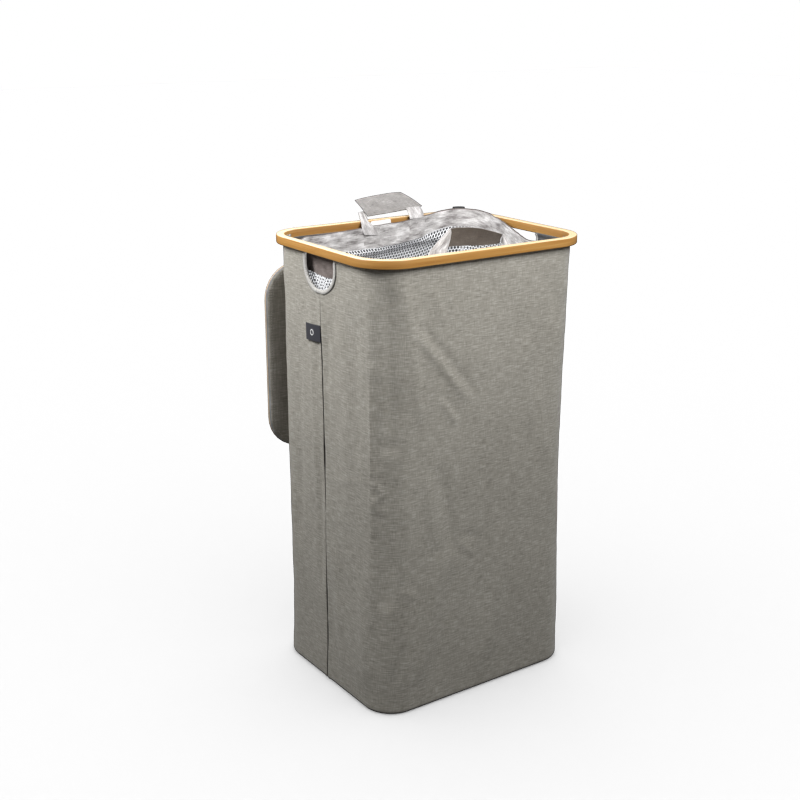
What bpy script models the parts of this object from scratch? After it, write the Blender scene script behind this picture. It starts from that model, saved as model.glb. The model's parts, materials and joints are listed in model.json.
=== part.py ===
"""Laundry hamper: a fabric cover on four corner rods and a bamboo rim, with a hung lid and a lift-out bag.

Metres, +Z up. X runs along the long side and the lid hangs behind the +Y side.
The origin is at the middle of the base, on the floor.
"""
import math

import bmesh
import bpy

# whole hamper
HEIGHT = 0.720  # floor to the top of the rim
GAP = 0.0003  # between pieces that touch
CORNER_STEPS = 8  # facets in each rounded corner

# bamboo rim
RIM_LENGTH = 0.404
RIM_DEPTH = 0.322
RIM_CORNER = 0.0625
RIM_WIDTH = 0.0125
RIM_THICKNESS = 0.013
RIM_EDGE = 0.0025

# fabric cover
COVER_WALL = 0.003
COVER_INSET = 0.0098  # from the rim's outer face to the cover, below the rim
BASE_INSET_X = 0.012  # from the rim's outer face in to the foot of the short walls
BASE_INSET_Y = 0.006
BASE_CORNER = 0.050
COVER_BOW = 0.004  # how far the walls pull in at half height
COVER_LEVELS = 8
HEM_STEP = 0.0065  # height over which the hem tucks in under the rim
HEM_TOP_DROP = 0.002  # from the rim's top down to the hem's top edge
SEAM_GAP = 0.0004

# hand holes in the short sides
HOLE_WIDTH = 0.082
HOLE_DEPTH = 0.053  # below the rim
HOLE_CORNER = 0.034
BINDING = 0.0015
BINDING_PROUD = 0.0008

# base
BASE_SHEET = 0.003
BOARD = 0.005

# corner rods and their fittings
ROD_RADIUS = 0.004
ROD_FROM_CORNER = 0.0368  # from the centre of the rim's corner arc, along its diagonal
ROD_FIT = 0.0004
SLEEVE_WALL = 0.001
SLEEVE_END_GAP = 0.004
FITTING_RADIUS = 0.007
FOOT_HEIGHT = 0.020
FOOT_FLOOR = 0.003
SOCKET_LENGTH = 0.028
SOCKET_TOP_DROP = 0.020  # from the rim's top down to the socket's top
SOCKET_ROOF = 0.004
PLATE_WIDTH = 0.012
PLATE_THICKNESS = 0.0028
ROUND_STEPS = 16

# screws through the socket plate and the hem into the rim
SCREW_RADIUS = 0.0018
SCREW_HEAD_RADIUS = 0.0034
SCREW_HEAD = 0.0016
SCREW_FIT = 0.0003
SCREW_BITE = 0.0075

# side label
LABEL_LENGTH = 0.038
LABEL_HEIGHT = 0.026
LABEL_THICKNESS = 0.0009
LABEL_DROP = 0.136  # from the rim's top to the label's middle

# lid
LID_SHORT = 0.0103  # how much less deep the lid is than the rim
LID_CORNER = 0.058
LID_FABRIC = 0.0015
LID_BOARD = 0.003
LID_PADDING = 0.0041
LID_TOP_DROP = 0.0533  # from the rim's top to the hanging lid's upper edge
LID_FROM_COVER = 0.0015
LID_REST_GAP = 0.0003  # between the shut lid and the rim
HINGE_LENGTH = 0.300
HINGE_MARGIN = 0.0052  # sewn strip between the lid's edge and its fold
FLAP = 0.0015
FOLD_GAP = 0.0009
ANCHOR_BELOW = 0.019
ANCHOR_ABOVE = 0.0015

# lift-out bag
LINER_INSET = 0.021  # from the rim's outer face in to the bag
LINER_CORNER = 0.075
LINER_TAPER = 0.005
BAND_HEIGHT = 0.045
BAND_TOP_DROP = 0.0015
BAND_THICKNESS = 0.0015
MESH_THICKNESS = 0.0012
LINER_FLOOR = 0.0015

# bag handles
STRAP_WIDTH = 0.033
STRAP_THICKNESS = 0.002
STRAP_SPACING = 0.092
LOOP_HEIGHT = 0.054
LOOP_CUT_CORNER = 0.008
STRAP_END_HEIGHT = 0.030
STRAP_END_THICKNESS = 0.0012
STRAP_END_DROP = 0.0008  # from the fold line down to the sewn part
STRAP_PIVOT_RISE = 0.0005  # fold line above the band's top edge
LOOP_START = 0.0005  # from the fold line to the loose part of the strap
BACK_HANDLE_X = 0.036
FRONT_HANDLE_X = -0.022
BACK_HANDLE_LEAN = 56  # degrees above level, leaning out over the rim
FRONT_HANDLE_LEAN = 43  # degrees above level, leaning in over the bag

# sewn-in tag and tab
TAG_WIDTH = 0.038
TAG_HEIGHT = 0.018
TAG_THICKNESS = 0.0006
TAG_X = 0.010
TAB_WIDTH = 0.020
TAB_HEIGHT = 0.014

BASE_LENGTH = RIM_LENGTH - 2 * BASE_INSET_X
BASE_DEPTH = RIM_DEPTH - 2 * BASE_INSET_Y
LID_DEPTH = RIM_DEPTH - LID_SHORT
LINER_LENGTH = RIM_LENGTH - 2 * LINER_INSET
LINER_DEPTH = RIM_DEPTH - 2 * LINER_INSET
RIM_BOTTOM = HEIGHT - RIM_THICKNESS
HEM_TOP = HEIGHT - HEM_TOP_DROP
BOARD_TOP = BASE_SHEET + GAP + BOARD
ARC_X = RIM_LENGTH / 2 - RIM_CORNER
ARC_Y = RIM_DEPTH / 2 - RIM_CORNER
SCREW_Z = (RIM_BOTTOM + HEIGHT) / 2
LID_THICKNESS = 2 * LID_FABRIC + LID_BOARD + LID_PADDING + 3 * GAP
LID_NEAR = RIM_DEPTH / 2 - COVER_INSET + LID_FROM_COVER
LID_FAR = LID_NEAR + LID_THICKNESS
LID_TOP = HEIGHT - LID_TOP_DROP
LID_MIDDLE = LID_TOP - LID_DEPTH / 2
FOLD_Y = LID_FAR - FLAP / 2
LOW_FOLD_Z = LID_TOP + HINGE_MARGIN
HIGH_FOLD_Z = HEIGHT + LID_REST_GAP
FLAP_PIVOT_Z = (LOW_FOLD_Z + HIGH_FOLD_Z) / 2
LINER_TOP = HEIGHT - BAND_TOP_DROP
BAND_BOTTOM = LINER_TOP - BAND_HEIGHT
LINER_BASE = BOARD_TOP + GAP
STRAP_PIVOT_Z = LINER_TOP + STRAP_PIVOT_RISE
STRAP_Y = LINER_DEPTH / 2 - BAND_THICKNESS - GAP - STRAP_END_THICKNESS / 2

CORNERS = {"front_left": (-1, -1), "front_right": (1, -1), "back_right": (1, 1), "back_left": (-1, 1)}


def clear_scene():
    for thing in list(bpy.data.objects):
        bpy.data.objects.remove(thing, do_unlink=True)


def material(name, colour, roughness, metallic=0.0):
    made = bpy.data.materials.new(name)
    made.use_nodes = True
    shader = made.node_tree.nodes["Principled BSDF"]
    shader.inputs["Base Color"].default_value = (*colour, 1.0)
    shader.inputs["Roughness"].default_value = roughness
    shader.inputs["Metallic"].default_value = metallic
    return made


def add_object(name, mesh, colour, roughness, metallic=0.0):
    thing = bpy.data.objects.new(name, mesh)
    bpy.context.scene.collection.objects.link(thing)
    mesh.materials.append(material(name, colour, roughness, metallic))
    return thing


def finish_mesh(shape, name):
    bmesh.ops.recalc_face_normals(shape, faces=shape.faces)
    mesh = bpy.data.meshes.new(name)
    shape.to_mesh(mesh)
    shape.free()
    return mesh


def loft(name, sections):
    """Solid through a row of closed outlines with equal point counts, capped at both ends."""
    shape = bmesh.new()
    rows = [[shape.verts.new(point) for point in section] for section in sections]
    join_rows(shape, rows)
    shape.faces.new(rows[0])
    shape.faces.new(rows[-1])
    return finish_mesh(shape, name)


def loop_round(name, sections):
    """Solid ring: the last outline joins the first."""
    shape = bmesh.new()
    rows = [[shape.verts.new(point) for point in section] for section in sections]
    join_rows(shape, rows + rows[:1])
    return finish_mesh(shape, name)


def join_rows(shape, rows):
    for low, high in zip(rows, rows[1:]):
        for i in range(len(low)):
            j = (i + 1) % len(low)
            shape.faces.new((low[i], low[j], high[j], high[i]))


def arc(centre, radius, start, end, steps):
    return [
        (
            centre[0] + radius * math.cos(math.radians(start + (end - start) * i / steps)),
            centre[1] + radius * math.sin(math.radians(start + (end - start) * i / steps)),
        )
        for i in range(steps + 1)
    ]


def rounded(half_x, half_y, radius):
    """Outline of a rectangle with round corners, anticlockwise from the end of its lower side."""
    points = []
    for sign_x, sign_y, start in ((1, -1, -90), (1, 1, 0), (-1, 1, 90), (-1, -1, 180)):
        centre = sign_x * (half_x - radius), sign_y * (half_y - radius)
        points += arc(centre, radius, start, start + 90, CORNER_STEPS)
    return points


def flat(points, z):
    return [(x, y, z) for x, y in points]


def rim_outline(inset):
    return rounded(RIM_LENGTH / 2 - inset, RIM_DEPTH / 2 - inset, RIM_CORNER - inset)


def plate_solid(name, outline, bottom, top):
    return loft(name, [flat(outline, bottom), flat(outline, top)])


def turned(name, profile):
    """Solid turned about Z from (radius, z) points; a profile that ends on the axis closes there."""
    shape = bmesh.new()
    rows = []
    for radius, z in profile:
        if radius == 0:
            rows.append([shape.verts.new((0, 0, z))])
            continue
        turn = [2 * math.pi * i / ROUND_STEPS for i in range(ROUND_STEPS)]
        rows.append([shape.verts.new((radius * math.cos(t), radius * math.sin(t), z)) for t in turn])
    for low, high in zip(rows, rows[1:]):
        for i in range(ROUND_STEPS):
            j = (i + 1) % ROUND_STEPS
            ring = [low[i % len(low)], low[j % len(low)], high[j % len(high)], high[i % len(high)]]
            corners = list(dict.fromkeys(ring))
            if len(corners) > 2:
                shape.faces.new(corners)
    return finish_mesh(shape, name)


def tube_profile(outer, inner, bottom, top):
    return [(outer, bottom), (outer, top), (inner, top), (inner, bottom), (outer, bottom)]


def smooth(thing):
    thing.data.shade_smooth()
    thing.data.set_sharp_from_angle(angle=math.radians(35))
    return thing


def boolean(target, tool, operation="DIFFERENCE"):
    step = target.modifiers.new(tool.name, "BOOLEAN")
    step.operation = operation
    step.solver = "EXACT"
    step.object = tool
    tool.hide_render = True
    tool.display_type = "WIRE"


def box(name, low, high):
    outline = [(low[0], low[1]), (high[0], low[1]), (high[0], high[1]), (low[0], high[1])]
    return plate_solid(name, outline, low[2], high[2])


def cover_outline(z):
    """Half length, half depth and corner radius of the cover's outer face at a height."""
    share = min(z / RIM_BOTTOM, 1.0)
    bow = 4 * COVER_BOW * share * (1 - share)
    top_x, top_y = RIM_LENGTH / 2 - COVER_INSET, RIM_DEPTH / 2 - COVER_INSET
    half_x = BASE_LENGTH / 2 * (1 - share) + top_x * share - bow
    half_y = BASE_DEPTH / 2 * (1 - share) + top_y * share - bow
    radius = BASE_CORNER * (1 - share) + (RIM_CORNER - COVER_INSET) * share
    return half_x, half_y, radius


def half_outline(half_x, half_y, radius):
    """The front half of a rounded outline, from the left seam round to the right seam."""
    seam = -SEAM_GAP / 2
    left = arc((-(half_x - radius), -(half_y - radius)), radius, 180, 270, CORNER_STEPS)
    right = arc((half_x - radius, -(half_y - radius)), radius, 270, 360, CORNER_STEPS)
    return [(-half_x, seam), *left, *right, (half_x, seam)]


def cover_section(outline, z, side):
    half_x, half_y, radius = outline
    outer = half_outline(half_x, half_y, radius)
    inner = half_outline(half_x - COVER_WALL, half_y - COVER_WALL, radius - COVER_WALL)
    return [(x, -side * y, z) for x, y in outer + inner[::-1]]


def make_cover_panel(name, side, colour):
    """Half of the cover, between the two side seams. side is -1 for the front and 1 for the back."""
    low, high = BASE_SHEET + GAP, RIM_BOTTOM - HEM_STEP - GAP
    sections = []
    for i in range(COVER_LEVELS + 1):
        z = low + (high - low) * i / COVER_LEVELS
        sections.append(cover_section(cover_outline(z), z, side))
    tuck = RIM_WIDTH + GAP
    hem = RIM_LENGTH / 2 - tuck, RIM_DEPTH / 2 - tuck, RIM_CORNER - tuck
    sections += [cover_section(hem, z, side) for z in (RIM_BOTTOM - GAP, HEM_TOP)]
    return smooth(add_object(name, loft(name, sections), colour, 0.9))


def hole_outline(inset, top):
    """U-shaped outline of a hand hole in (y, z), open side up, pulled in by inset."""
    half = HOLE_WIDTH / 2 - inset
    bottom = RIM_BOTTOM - HOLE_DEPTH + inset
    radius = HOLE_CORNER - inset
    left = arc((-(half - radius), bottom + radius), radius, 180, 270, CORNER_STEPS)
    right = arc((half - radius, bottom + radius), radius, 270, 360, CORNER_STEPS)
    return [(-half, top), *left, *right, (half, top)]


def make_hole_cutters():
    cutters = []
    for name, side in (("left", -1), ("right", 1)):
        deep = RIM_LENGTH / 2 - RIM_CORNER
        sections = [
            [(side * x, y, z) for y, z in hole_outline(0, HEIGHT + RIM_THICKNESS)]
            for x in (deep, RIM_LENGTH / 2)
        ]
        mesh = loft("cut_hole_" + name, sections)
        cutters.append(add_object("cut_hole_" + name, mesh, (0.5, 0.5, 0.5), 0.5))
    return cutters


def make_hole_binding(name, side, colour):
    """Folded tape that lines the edge of a hand hole and stands a little proud of both faces."""
    top = RIM_BOTTOM - GAP
    outline = hole_outline(GAP, top) + hole_outline(GAP + BINDING, top)[::-1]
    near = RIM_LENGTH / 2 - RIM_WIDTH - GAP - COVER_WALL - BINDING_PROUD
    far = RIM_LENGTH / 2 - COVER_INSET + BINDING_PROUD
    sections = [[(side * x, y, z) for y, z in outline] for x in (near, far)]
    return smooth(add_object(name, loft(name, sections), colour, 0.85))


def make_rim(colour):
    edge, width = RIM_EDGE, RIM_WIDTH
    profile = [
        (0, RIM_BOTTOM + edge), (0, HEIGHT - edge), (edge, HEIGHT), (width - edge, HEIGHT),
        (width, HEIGHT - edge), (width, RIM_BOTTOM + edge), (width - edge, RIM_BOTTOM),
        (edge, RIM_BOTTOM),
    ]
    sections = [flat(rim_outline(inset), z) for inset, z in profile]
    return smooth(add_object("bamboo_rim", loop_round("bamboo_rim", sections), colour, 0.45))


def diagonal(corner, distance):
    """A point on a rim corner's diagonal, at a distance from the centre of its arc."""
    sign_x, sign_y = CORNERS[corner]
    share = distance / math.sqrt(2)
    return sign_x * (ARC_X + share), sign_y * (ARC_Y + share)


def corner_turn(corner):
    sign_x, sign_y = CORNERS[corner]
    return math.atan2(sign_y, sign_x)


def make_screw_parts(corner):
    """One screw and the cutter for its hole, both lying on the corner's diagonal."""
    inner_face = RIM_CORNER - RIM_WIDTH - 2 * GAP - COVER_WALL - PLATE_THICKNESS - GAP
    tip = RIM_CORNER - RIM_WIDTH + SCREW_BITE
    profile = [
        (0, -SCREW_HEAD), (SCREW_HEAD_RADIUS, -SCREW_HEAD), (SCREW_HEAD_RADIUS, 0),
        (SCREW_RADIUS, 0), (SCREW_RADIUS, tip - inner_face), (0, tip - inner_face),
    ]
    name = "socket_screw_" + corner
    screw = smooth(add_object(name, turned(name, profile), (0.62, 0.62, 0.62), 0.35, 1.0))
    radius = SCREW_RADIUS + SCREW_FIT
    length = tip - inner_face + GAP
    hole = [(0, -SCREW_HEAD), (radius, -SCREW_HEAD), (radius, length), (0, length)]
    cutter = add_object("cut_screw_" + corner, turned("cut_screw_" + corner, hole), (0.5, 0.5, 0.5), 0.5)
    for thing in (screw, cutter):
        thing.location = (*diagonal(corner, inner_face - GAP), SCREW_Z)
        thing.rotation_euler = (0, math.pi / 2, corner_turn(corner))
    return screw, cutter


def make_socket(corner, screw_cutter):
    """Plastic socket on a rod's top end, with the plate that the screw holds to the rim."""
    top = HEIGHT - SOCKET_TOP_DROP
    bottom = top - SOCKET_LENGTH
    bore = ROD_RADIUS + ROD_FIT
    roof = top - SOCKET_ROOF
    profile = [(0, top), (FITTING_RADIUS, top), (FITTING_RADIUS, bottom), (bore, bottom), (bore, roof), (0, roof)]
    name = "rim_socket_" + corner
    socket = add_object(name, turned(name, profile), (0.13, 0.13, 0.13), 0.5)
    socket.location = (*diagonal(corner, ROD_FROM_CORNER), 0)
    outer = RIM_CORNER - RIM_WIDTH - 2 * GAP - COVER_WALL - GAP
    inner = outer - PLATE_THICKNESS
    half = PLATE_WIDTH / 2
    plate = box("cut_plate_" + corner, (inner, -half, roof), (outer, half, HEIGHT - 2 * RIM_EDGE))
    web = box("cut_web_" + corner, (ROD_FROM_CORNER, -half / 2, roof), (inner + GAP, half / 2, top))
    for mesh in (plate, web):
        tool = add_object(mesh.name, mesh, (0.13, 0.13, 0.13), 0.5)
        tool.location = (*diagonal(corner, 0), 0)
        tool.rotation_euler.z = corner_turn(corner)
        boolean(socket, tool, "UNION")
    boolean(socket, screw_cutter)
    return smooth(socket)


def make_rod_set(corner):
    """The rod in one corner, the fabric sleeve round it and the foot that it stands in."""
    place = (*diagonal(corner, ROD_FROM_CORNER), 0)
    foot_top = BOARD_TOP + GAP + FOOT_HEIGHT
    rod_bottom = BOARD_TOP + GAP + FOOT_FLOOR + GAP
    rod_top = HEIGHT - SOCKET_TOP_DROP - SOCKET_ROOF - GAP
    socket_bottom = HEIGHT - SOCKET_TOP_DROP - SOCKET_LENGTH
    bore = ROD_RADIUS + ROD_FIT
    rod = [(0, rod_bottom), (ROD_RADIUS, rod_bottom), (ROD_RADIUS, rod_top), (0, rod_top)]
    sleeve = tube_profile(
        bore + SLEEVE_WALL, bore, foot_top + SLEEVE_END_GAP, socket_bottom - SLEEVE_END_GAP
    )
    floor = BOARD_TOP + GAP + FOOT_FLOOR
    foot = [
        (0, BOARD_TOP + GAP), (FITTING_RADIUS, BOARD_TOP + GAP), (FITTING_RADIUS, foot_top),
        (bore, foot_top), (bore, floor), (0, floor),
    ]
    kinds = (
        ("support_rod_", rod, (0.75, 0.76, 0.77), 0.3, 0.9),
        ("rod_sleeve_", sleeve, (0.45, 0.44, 0.42), 0.9, 0.0),
        ("rod_foot_", foot, (0.13, 0.13, 0.13), 0.5, 0.0),
    )
    for prefix, profile, colour, roughness, metallic in kinds:
        name = prefix + corner
        made = turned_ring(name, profile) if prefix == "rod_sleeve_" else turned(name, profile)
        thing = smooth(add_object(name, made, colour, roughness, metallic))
        thing.location = place


def turned_ring(name, profile):
    """A turned solid with a hole right through: the profile's first and last points are one."""
    sections = []
    for radius, z in profile[:-1]:
        turn = [2 * math.pi * i / ROUND_STEPS for i in range(ROUND_STEPS)]
        sections.append([(radius * math.cos(t), radius * math.sin(t), z) for t in turn])
    return loop_round(name, sections)


def make_base():
    half_x, half_y, radius = cover_outline(0)
    sheet = plate_solid("cover_base_panel", rounded(half_x, half_y, radius), 0, BASE_SHEET)
    add_object("cover_base_panel", sheet, (0.30, 0.29, 0.27), 0.9)
    inset = COVER_WALL + GAP + 4 * COVER_BOW * BOARD_TOP / RIM_BOTTOM
    outline = rounded(half_x - inset, half_y - inset, radius - inset)
    board = plate_solid("base_board", outline, BASE_SHEET + GAP, BOARD_TOP)
    add_object("base_board", board, (0.55, 0.47, 0.36), 0.8)


def make_label():
    """Folded label, caught in the left side seam and lying back along the wall."""
    middle = HEIGHT - LABEL_DROP
    wall = max(cover_outline(middle + s * LABEL_HEIGHT / 2)[0] for s in (-1, 1)) + GAP
    low = (-wall - LABEL_THICKNESS, SEAM_GAP, middle - LABEL_HEIGHT / 2)
    high = (-wall, SEAM_GAP + LABEL_LENGTH, middle + LABEL_HEIGHT / 2)
    add_object("side_label", box("side_label", low, high), (0.02, 0.02, 0.025), 0.7)


def make_hinge(colour):
    """Sewn strip on the back of the cover and the flap that hangs from it."""
    wall = RIM_DEPTH / 2 - COVER_INSET + GAP
    face = wall + FLAP
    z = FLAP_PIVOT_Z
    tip = FOLD_Y - FOLD_GAP
    profile = [
        (wall, z - ANCHOR_BELOW), (face, z - ANCHOR_BELOW), (face, z - FLAP / 2), (tip, z - FLAP / 2),
        (tip, z + FLAP / 2), (face, z + FLAP / 2), (face, z + ANCHOR_ABOVE), (wall, z + ANCHOR_ABOVE),
    ]
    half = HINGE_LENGTH / 2
    strip = loft("hinge_anchor", [[(x, a, b) for a, b in profile] for x in (-half, half)])
    add_object("hinge_anchor", strip, colour, 0.9)
    low = (-half, -FLAP / 2, LOW_FOLD_Z - z + GAP / 2)
    high = (half, FLAP / 2, -FOLD_GAP)
    flap = add_object("hinge_flap", box("hinge_flap", low, high), colour, 0.9)
    flap.location = (0, FOLD_Y, z)


def lid_outline(inset):
    return rounded(RIM_LENGTH / 2 - inset, LID_DEPTH / 2 - inset, LID_CORNER - inset)


def underside_outline():
    """The lid's outline with the hinge margin standing out of its upper edge."""
    points = lid_outline(0)
    half = HINGE_LENGTH / 2
    top, edge = LID_DEPTH / 2 + HINGE_MARGIN - GAP / 2, LID_DEPTH / 2
    turn = 2 * (CORNER_STEPS + 1)
    straight = RIM_LENGTH / 2 - LID_CORNER
    reach = min(half, straight - GAP)
    margin = [(reach, edge), (reach, top), (-reach, top), (-reach, edge)]
    return points[:turn] + margin + points[turn:]


def make_lid(fabric, inner):
    """Stiffened lid, hanging: its layers stack along Y from the face by the cover outwards."""
    holder = bpy.data.objects.new("lid_fold_axis", None)
    bpy.context.scene.collection.objects.link(holder)
    holder.location = (0, LID_FAR, LOW_FOLD_Z)
    pull = LID_FABRIC + GAP
    near = LID_NEAR
    layers = [("lid_top_fabric", lid_outline(0), near, near + LID_FABRIC, fabric, 0.9)]
    near += LID_FABRIC + GAP
    layers.append(("lid_padding", lid_outline(pull), near, near + LID_PADDING, (0.9, 0.9, 0.88), 0.95))
    near += LID_PADDING + GAP
    layers.append(("lid_board", lid_outline(pull), near, near + LID_BOARD, inner, 0.8))
    near += LID_BOARD + GAP
    layers.append(("lid_underside", underside_outline(), near, LID_FAR, fabric, 0.9))
    for name, outline, start, end, colour, roughness in layers:
        sections = [[(x, y, z) for x, z in outline] for y in (start, end)]
        place_on(add_object(name, loft(name, moved(sections)), colour, roughness), holder)
    edge = LID_NEAR + LID_FABRIC + GAP, LID_FAR - LID_FABRIC - GAP
    loops = [(0, edge[0]), (0, edge[1]), (LID_FABRIC, edge[1]), (LID_FABRIC, edge[0])]
    sections = [[(x, y, z) for x, z in lid_outline(inset)] for inset, y in loops]
    band = add_object("lid_edge_band", loop_round("lid_edge_band", moved(sections)), fabric, 0.9)
    place_on(smooth(band), holder)


def moved(sections):
    """Lid outlines are drawn about the lid's middle; this puts them about its fold axis."""
    return [[(x, y - LID_FAR, z + LID_MIDDLE - LOW_FOLD_Z) for x, y, z in s] for s in sections]


def place_on(thing, holder):
    thing.parent = holder
    return thing


def liner_outline(z, inset):
    share = (z - LINER_BASE) / (LINER_TOP - LINER_BASE)
    pull = inset + LINER_TAPER * (1 - share)
    return rounded(LINER_LENGTH / 2 - pull, LINER_DEPTH / 2 - pull, LINER_CORNER - pull)


def make_liner(band_colour, mesh_colour):
    floor_top = LINER_BASE + LINER_FLOOR
    floor = plate_solid("liner_floor", liner_outline(LINER_BASE, 0), LINER_BASE, floor_top)
    add_object("liner_floor", floor, mesh_colour, 0.9)
    parts = (
        ("liner_mesh", floor_top + GAP, BAND_BOTTOM - GAP, MESH_THICKNESS, mesh_colour),
        ("liner_band", BAND_BOTTOM, LINER_TOP, BAND_THICKNESS, band_colour),
    )
    for name, low, high, wall, colour in parts:
        loops = [(0, low), (0, high), (wall, high), (wall, low)]
        sections = [flat(liner_outline(z, inset), z) for inset, z in loops]
        smooth(add_object(name, loop_round(name, sections), colour, 0.9))


def handle_loop(name):
    """Bent-over strap as a flat arch: legs at the bottom, grip across the top, about its fold line."""
    half = (STRAP_SPACING + STRAP_WIDTH) / 2
    inside = half - STRAP_WIDTH
    low, cut = LOOP_START, LOOP_CUT_CORNER
    grip = LOOP_HEIGHT - STRAP_WIDTH
    outline = [
        (-half, low), (-half, LOOP_HEIGHT - cut), (-half + cut, LOOP_HEIGHT), (half - cut, LOOP_HEIGHT),
        (half, LOOP_HEIGHT - cut), (half, low), (inside, low), (inside, grip), (-inside, grip),
        (-inside, low),
    ]
    thick = STRAP_THICKNESS / 2
    return loft(name, [[(x, y, z) for x, z in outline] for y in (-thick, thick)])


def make_handle(place, side, middle, lean, colour):
    """One bag handle and its two sewn ends. side is 1 at the back and -1 at the front.

    lean is the angle from level, counted from +Y, so both handles lean towards the back.
    """
    loop = add_object("handle_%s_strap" % place, handle_loop(place), colour, 0.9)
    loop.location = (middle, side * STRAP_Y, STRAP_PIVOT_Z)
    loop.rotation_euler.x = math.radians(lean - 90)
    top = STRAP_PIVOT_Z - STRAP_END_DROP
    thick = STRAP_END_THICKNESS / 2
    for label, turn in (("left", -1), ("right", 1)):
        x = middle + turn * STRAP_SPACING / 2
        low = (x - STRAP_WIDTH / 2, side * STRAP_Y - thick, top - STRAP_END_HEIGHT)
        high = (x + STRAP_WIDTH / 2, side * STRAP_Y + thick, top)
        name = "handle_%s_end_%s" % (place, label)
        add_object(name, box(name, low, high), colour, 0.9)


def make_tags():
    """A white tag behind the bag's back band and a fastening tab in its back right corner."""
    face = LINER_DEPTH / 2 + GAP
    low = (TAG_X - TAG_WIDTH / 2, face, LINER_TOP - TAG_HEIGHT)
    tag = box("liner_tag", low, (TAG_X + TAG_WIDTH / 2, face + TAG_THICKNESS, LINER_TOP))
    add_object("liner_tag", tag, (0.85, 0.85, 0.83), 0.8)
    top = LINER_TOP - STRAP_THICKNESS
    inner = LINER_CORNER - BAND_THICKNESS
    reach = math.sqrt(inner**2 - (TAB_WIDTH / 2) ** 2) - 2 * GAP
    low = (reach - TAG_THICKNESS, -TAB_WIDTH / 2, top - TAB_HEIGHT)
    tab = add_object("liner_tab", box("liner_tab", low, (reach, TAB_WIDTH / 2, top)), (0.03, 0.03, 0.03), 0.8)
    tab.location = (LINER_LENGTH / 2 - LINER_CORNER, LINER_DEPTH / 2 - LINER_CORNER, 0)
    tab.rotation_euler.z = math.pi / 4


def build():
    clear_scene()
    linen, shade = (0.36, 0.34, 0.31), (0.42, 0.41, 0.40)
    panels = [
        make_cover_panel("cover_front_panel", -1, linen),
        make_cover_panel("cover_back_panel", 1, linen),
    ]
    cutters = make_hole_cutters()
    rim = make_rim((0.78, 0.55, 0.30))
    for panel in panels:
        for cutter in cutters:
            boolean(panel, cutter)
    make_hole_binding("hand_hole_binding_left", -1, linen)
    make_hole_binding("hand_hole_binding_right", 1, linen)
    make_base()
    for corner in CORNERS:
        _, hole = make_screw_parts(corner)
        boolean(rim, hole)
        boolean(panels[0] if CORNERS[corner][1] < 0 else panels[1], hole)
        make_socket(corner, hole)
        make_rod_set(corner)
    make_label()
    make_hinge(linen)
    make_lid(linen, (0.60, 0.52, 0.40))
    make_liner(shade, (0.62, 0.63, 0.65))
    make_handle("back", 1, BACK_HANDLE_X, BACK_HANDLE_LEAN, shade)
    make_handle("front", -1, FRONT_HANDLE_X, FRONT_HANDLE_LEAN, shade)
    make_tags()


build()
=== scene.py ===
import json
import math

import bpy
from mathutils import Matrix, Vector, noise


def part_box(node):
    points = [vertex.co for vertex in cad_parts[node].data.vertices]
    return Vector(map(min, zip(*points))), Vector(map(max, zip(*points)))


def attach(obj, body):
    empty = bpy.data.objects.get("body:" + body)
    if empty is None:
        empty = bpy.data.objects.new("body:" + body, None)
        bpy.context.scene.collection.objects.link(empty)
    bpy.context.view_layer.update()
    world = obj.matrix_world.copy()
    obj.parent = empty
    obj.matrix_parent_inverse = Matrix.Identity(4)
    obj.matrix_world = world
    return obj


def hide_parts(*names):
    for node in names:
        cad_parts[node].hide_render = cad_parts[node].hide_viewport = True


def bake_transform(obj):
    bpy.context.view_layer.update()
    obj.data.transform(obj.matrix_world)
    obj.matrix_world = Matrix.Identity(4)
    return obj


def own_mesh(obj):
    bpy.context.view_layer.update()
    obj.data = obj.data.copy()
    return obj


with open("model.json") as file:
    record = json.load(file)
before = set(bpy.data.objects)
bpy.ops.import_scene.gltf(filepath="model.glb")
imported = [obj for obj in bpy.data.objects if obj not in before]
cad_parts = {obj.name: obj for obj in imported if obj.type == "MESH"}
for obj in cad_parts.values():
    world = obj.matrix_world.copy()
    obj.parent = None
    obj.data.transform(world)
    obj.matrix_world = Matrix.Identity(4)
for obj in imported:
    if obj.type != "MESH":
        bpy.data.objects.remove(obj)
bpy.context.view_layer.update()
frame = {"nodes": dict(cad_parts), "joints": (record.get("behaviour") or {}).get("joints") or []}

# sizes that several pieces share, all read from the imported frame
rimLow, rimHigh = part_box("bamboo_rim")
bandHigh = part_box("liner_band")[1]
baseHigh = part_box("cover_base_panel")[1]
joints = {joint["name"]: joint for joint in frame["joints"]}


def dropPicks():
    if bpy.context.object and bpy.context.object.mode != "OBJECT":
        bpy.ops.object.mode_set(mode="OBJECT")
    bpy.ops.object.select_all(action="DESELECT")


def pick(*pieces):
    dropPicks()
    for piece in pieces:
        piece.select_set(True)
    bpy.context.view_layer.objects.active = pieces[0]


def editPick(piece, mode, test):
    # opens edit mode with only the parts chosen by their place or normal
    pick(piece)
    bpy.ops.object.mode_set(mode="EDIT")
    bpy.ops.mesh.select_mode(type=mode)
    bpy.ops.mesh.select_all(action="DESELECT")
    bpy.ops.object.mode_set(mode="OBJECT")
    mesh = piece.data
    parts = {"VERT": mesh.vertices, "EDGE": mesh.edges, "FACE": mesh.polygons}[mode]
    for part in parts:
        part.select = bool(test(mesh, part))
    bpy.ops.object.mode_set(mode="EDIT")


def leaveEdit():
    bpy.ops.object.mode_set(mode="OBJECT")


def pickWhole(piece):
    editPick(piece, "FACE", lambda mesh, face: True)


def faceOutward(piece):
    pickWhole(piece)
    bpy.ops.mesh.normals_make_consistent(inside=False)
    leaveEdit()


def roundEdges(piece, test, offset, segments, **values):
    editPick(piece, "EDGE", test)
    bpy.ops.mesh.bevel(offset=offset, segments=segments, affect="EDGES", **values)
    leaveEdit()


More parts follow.
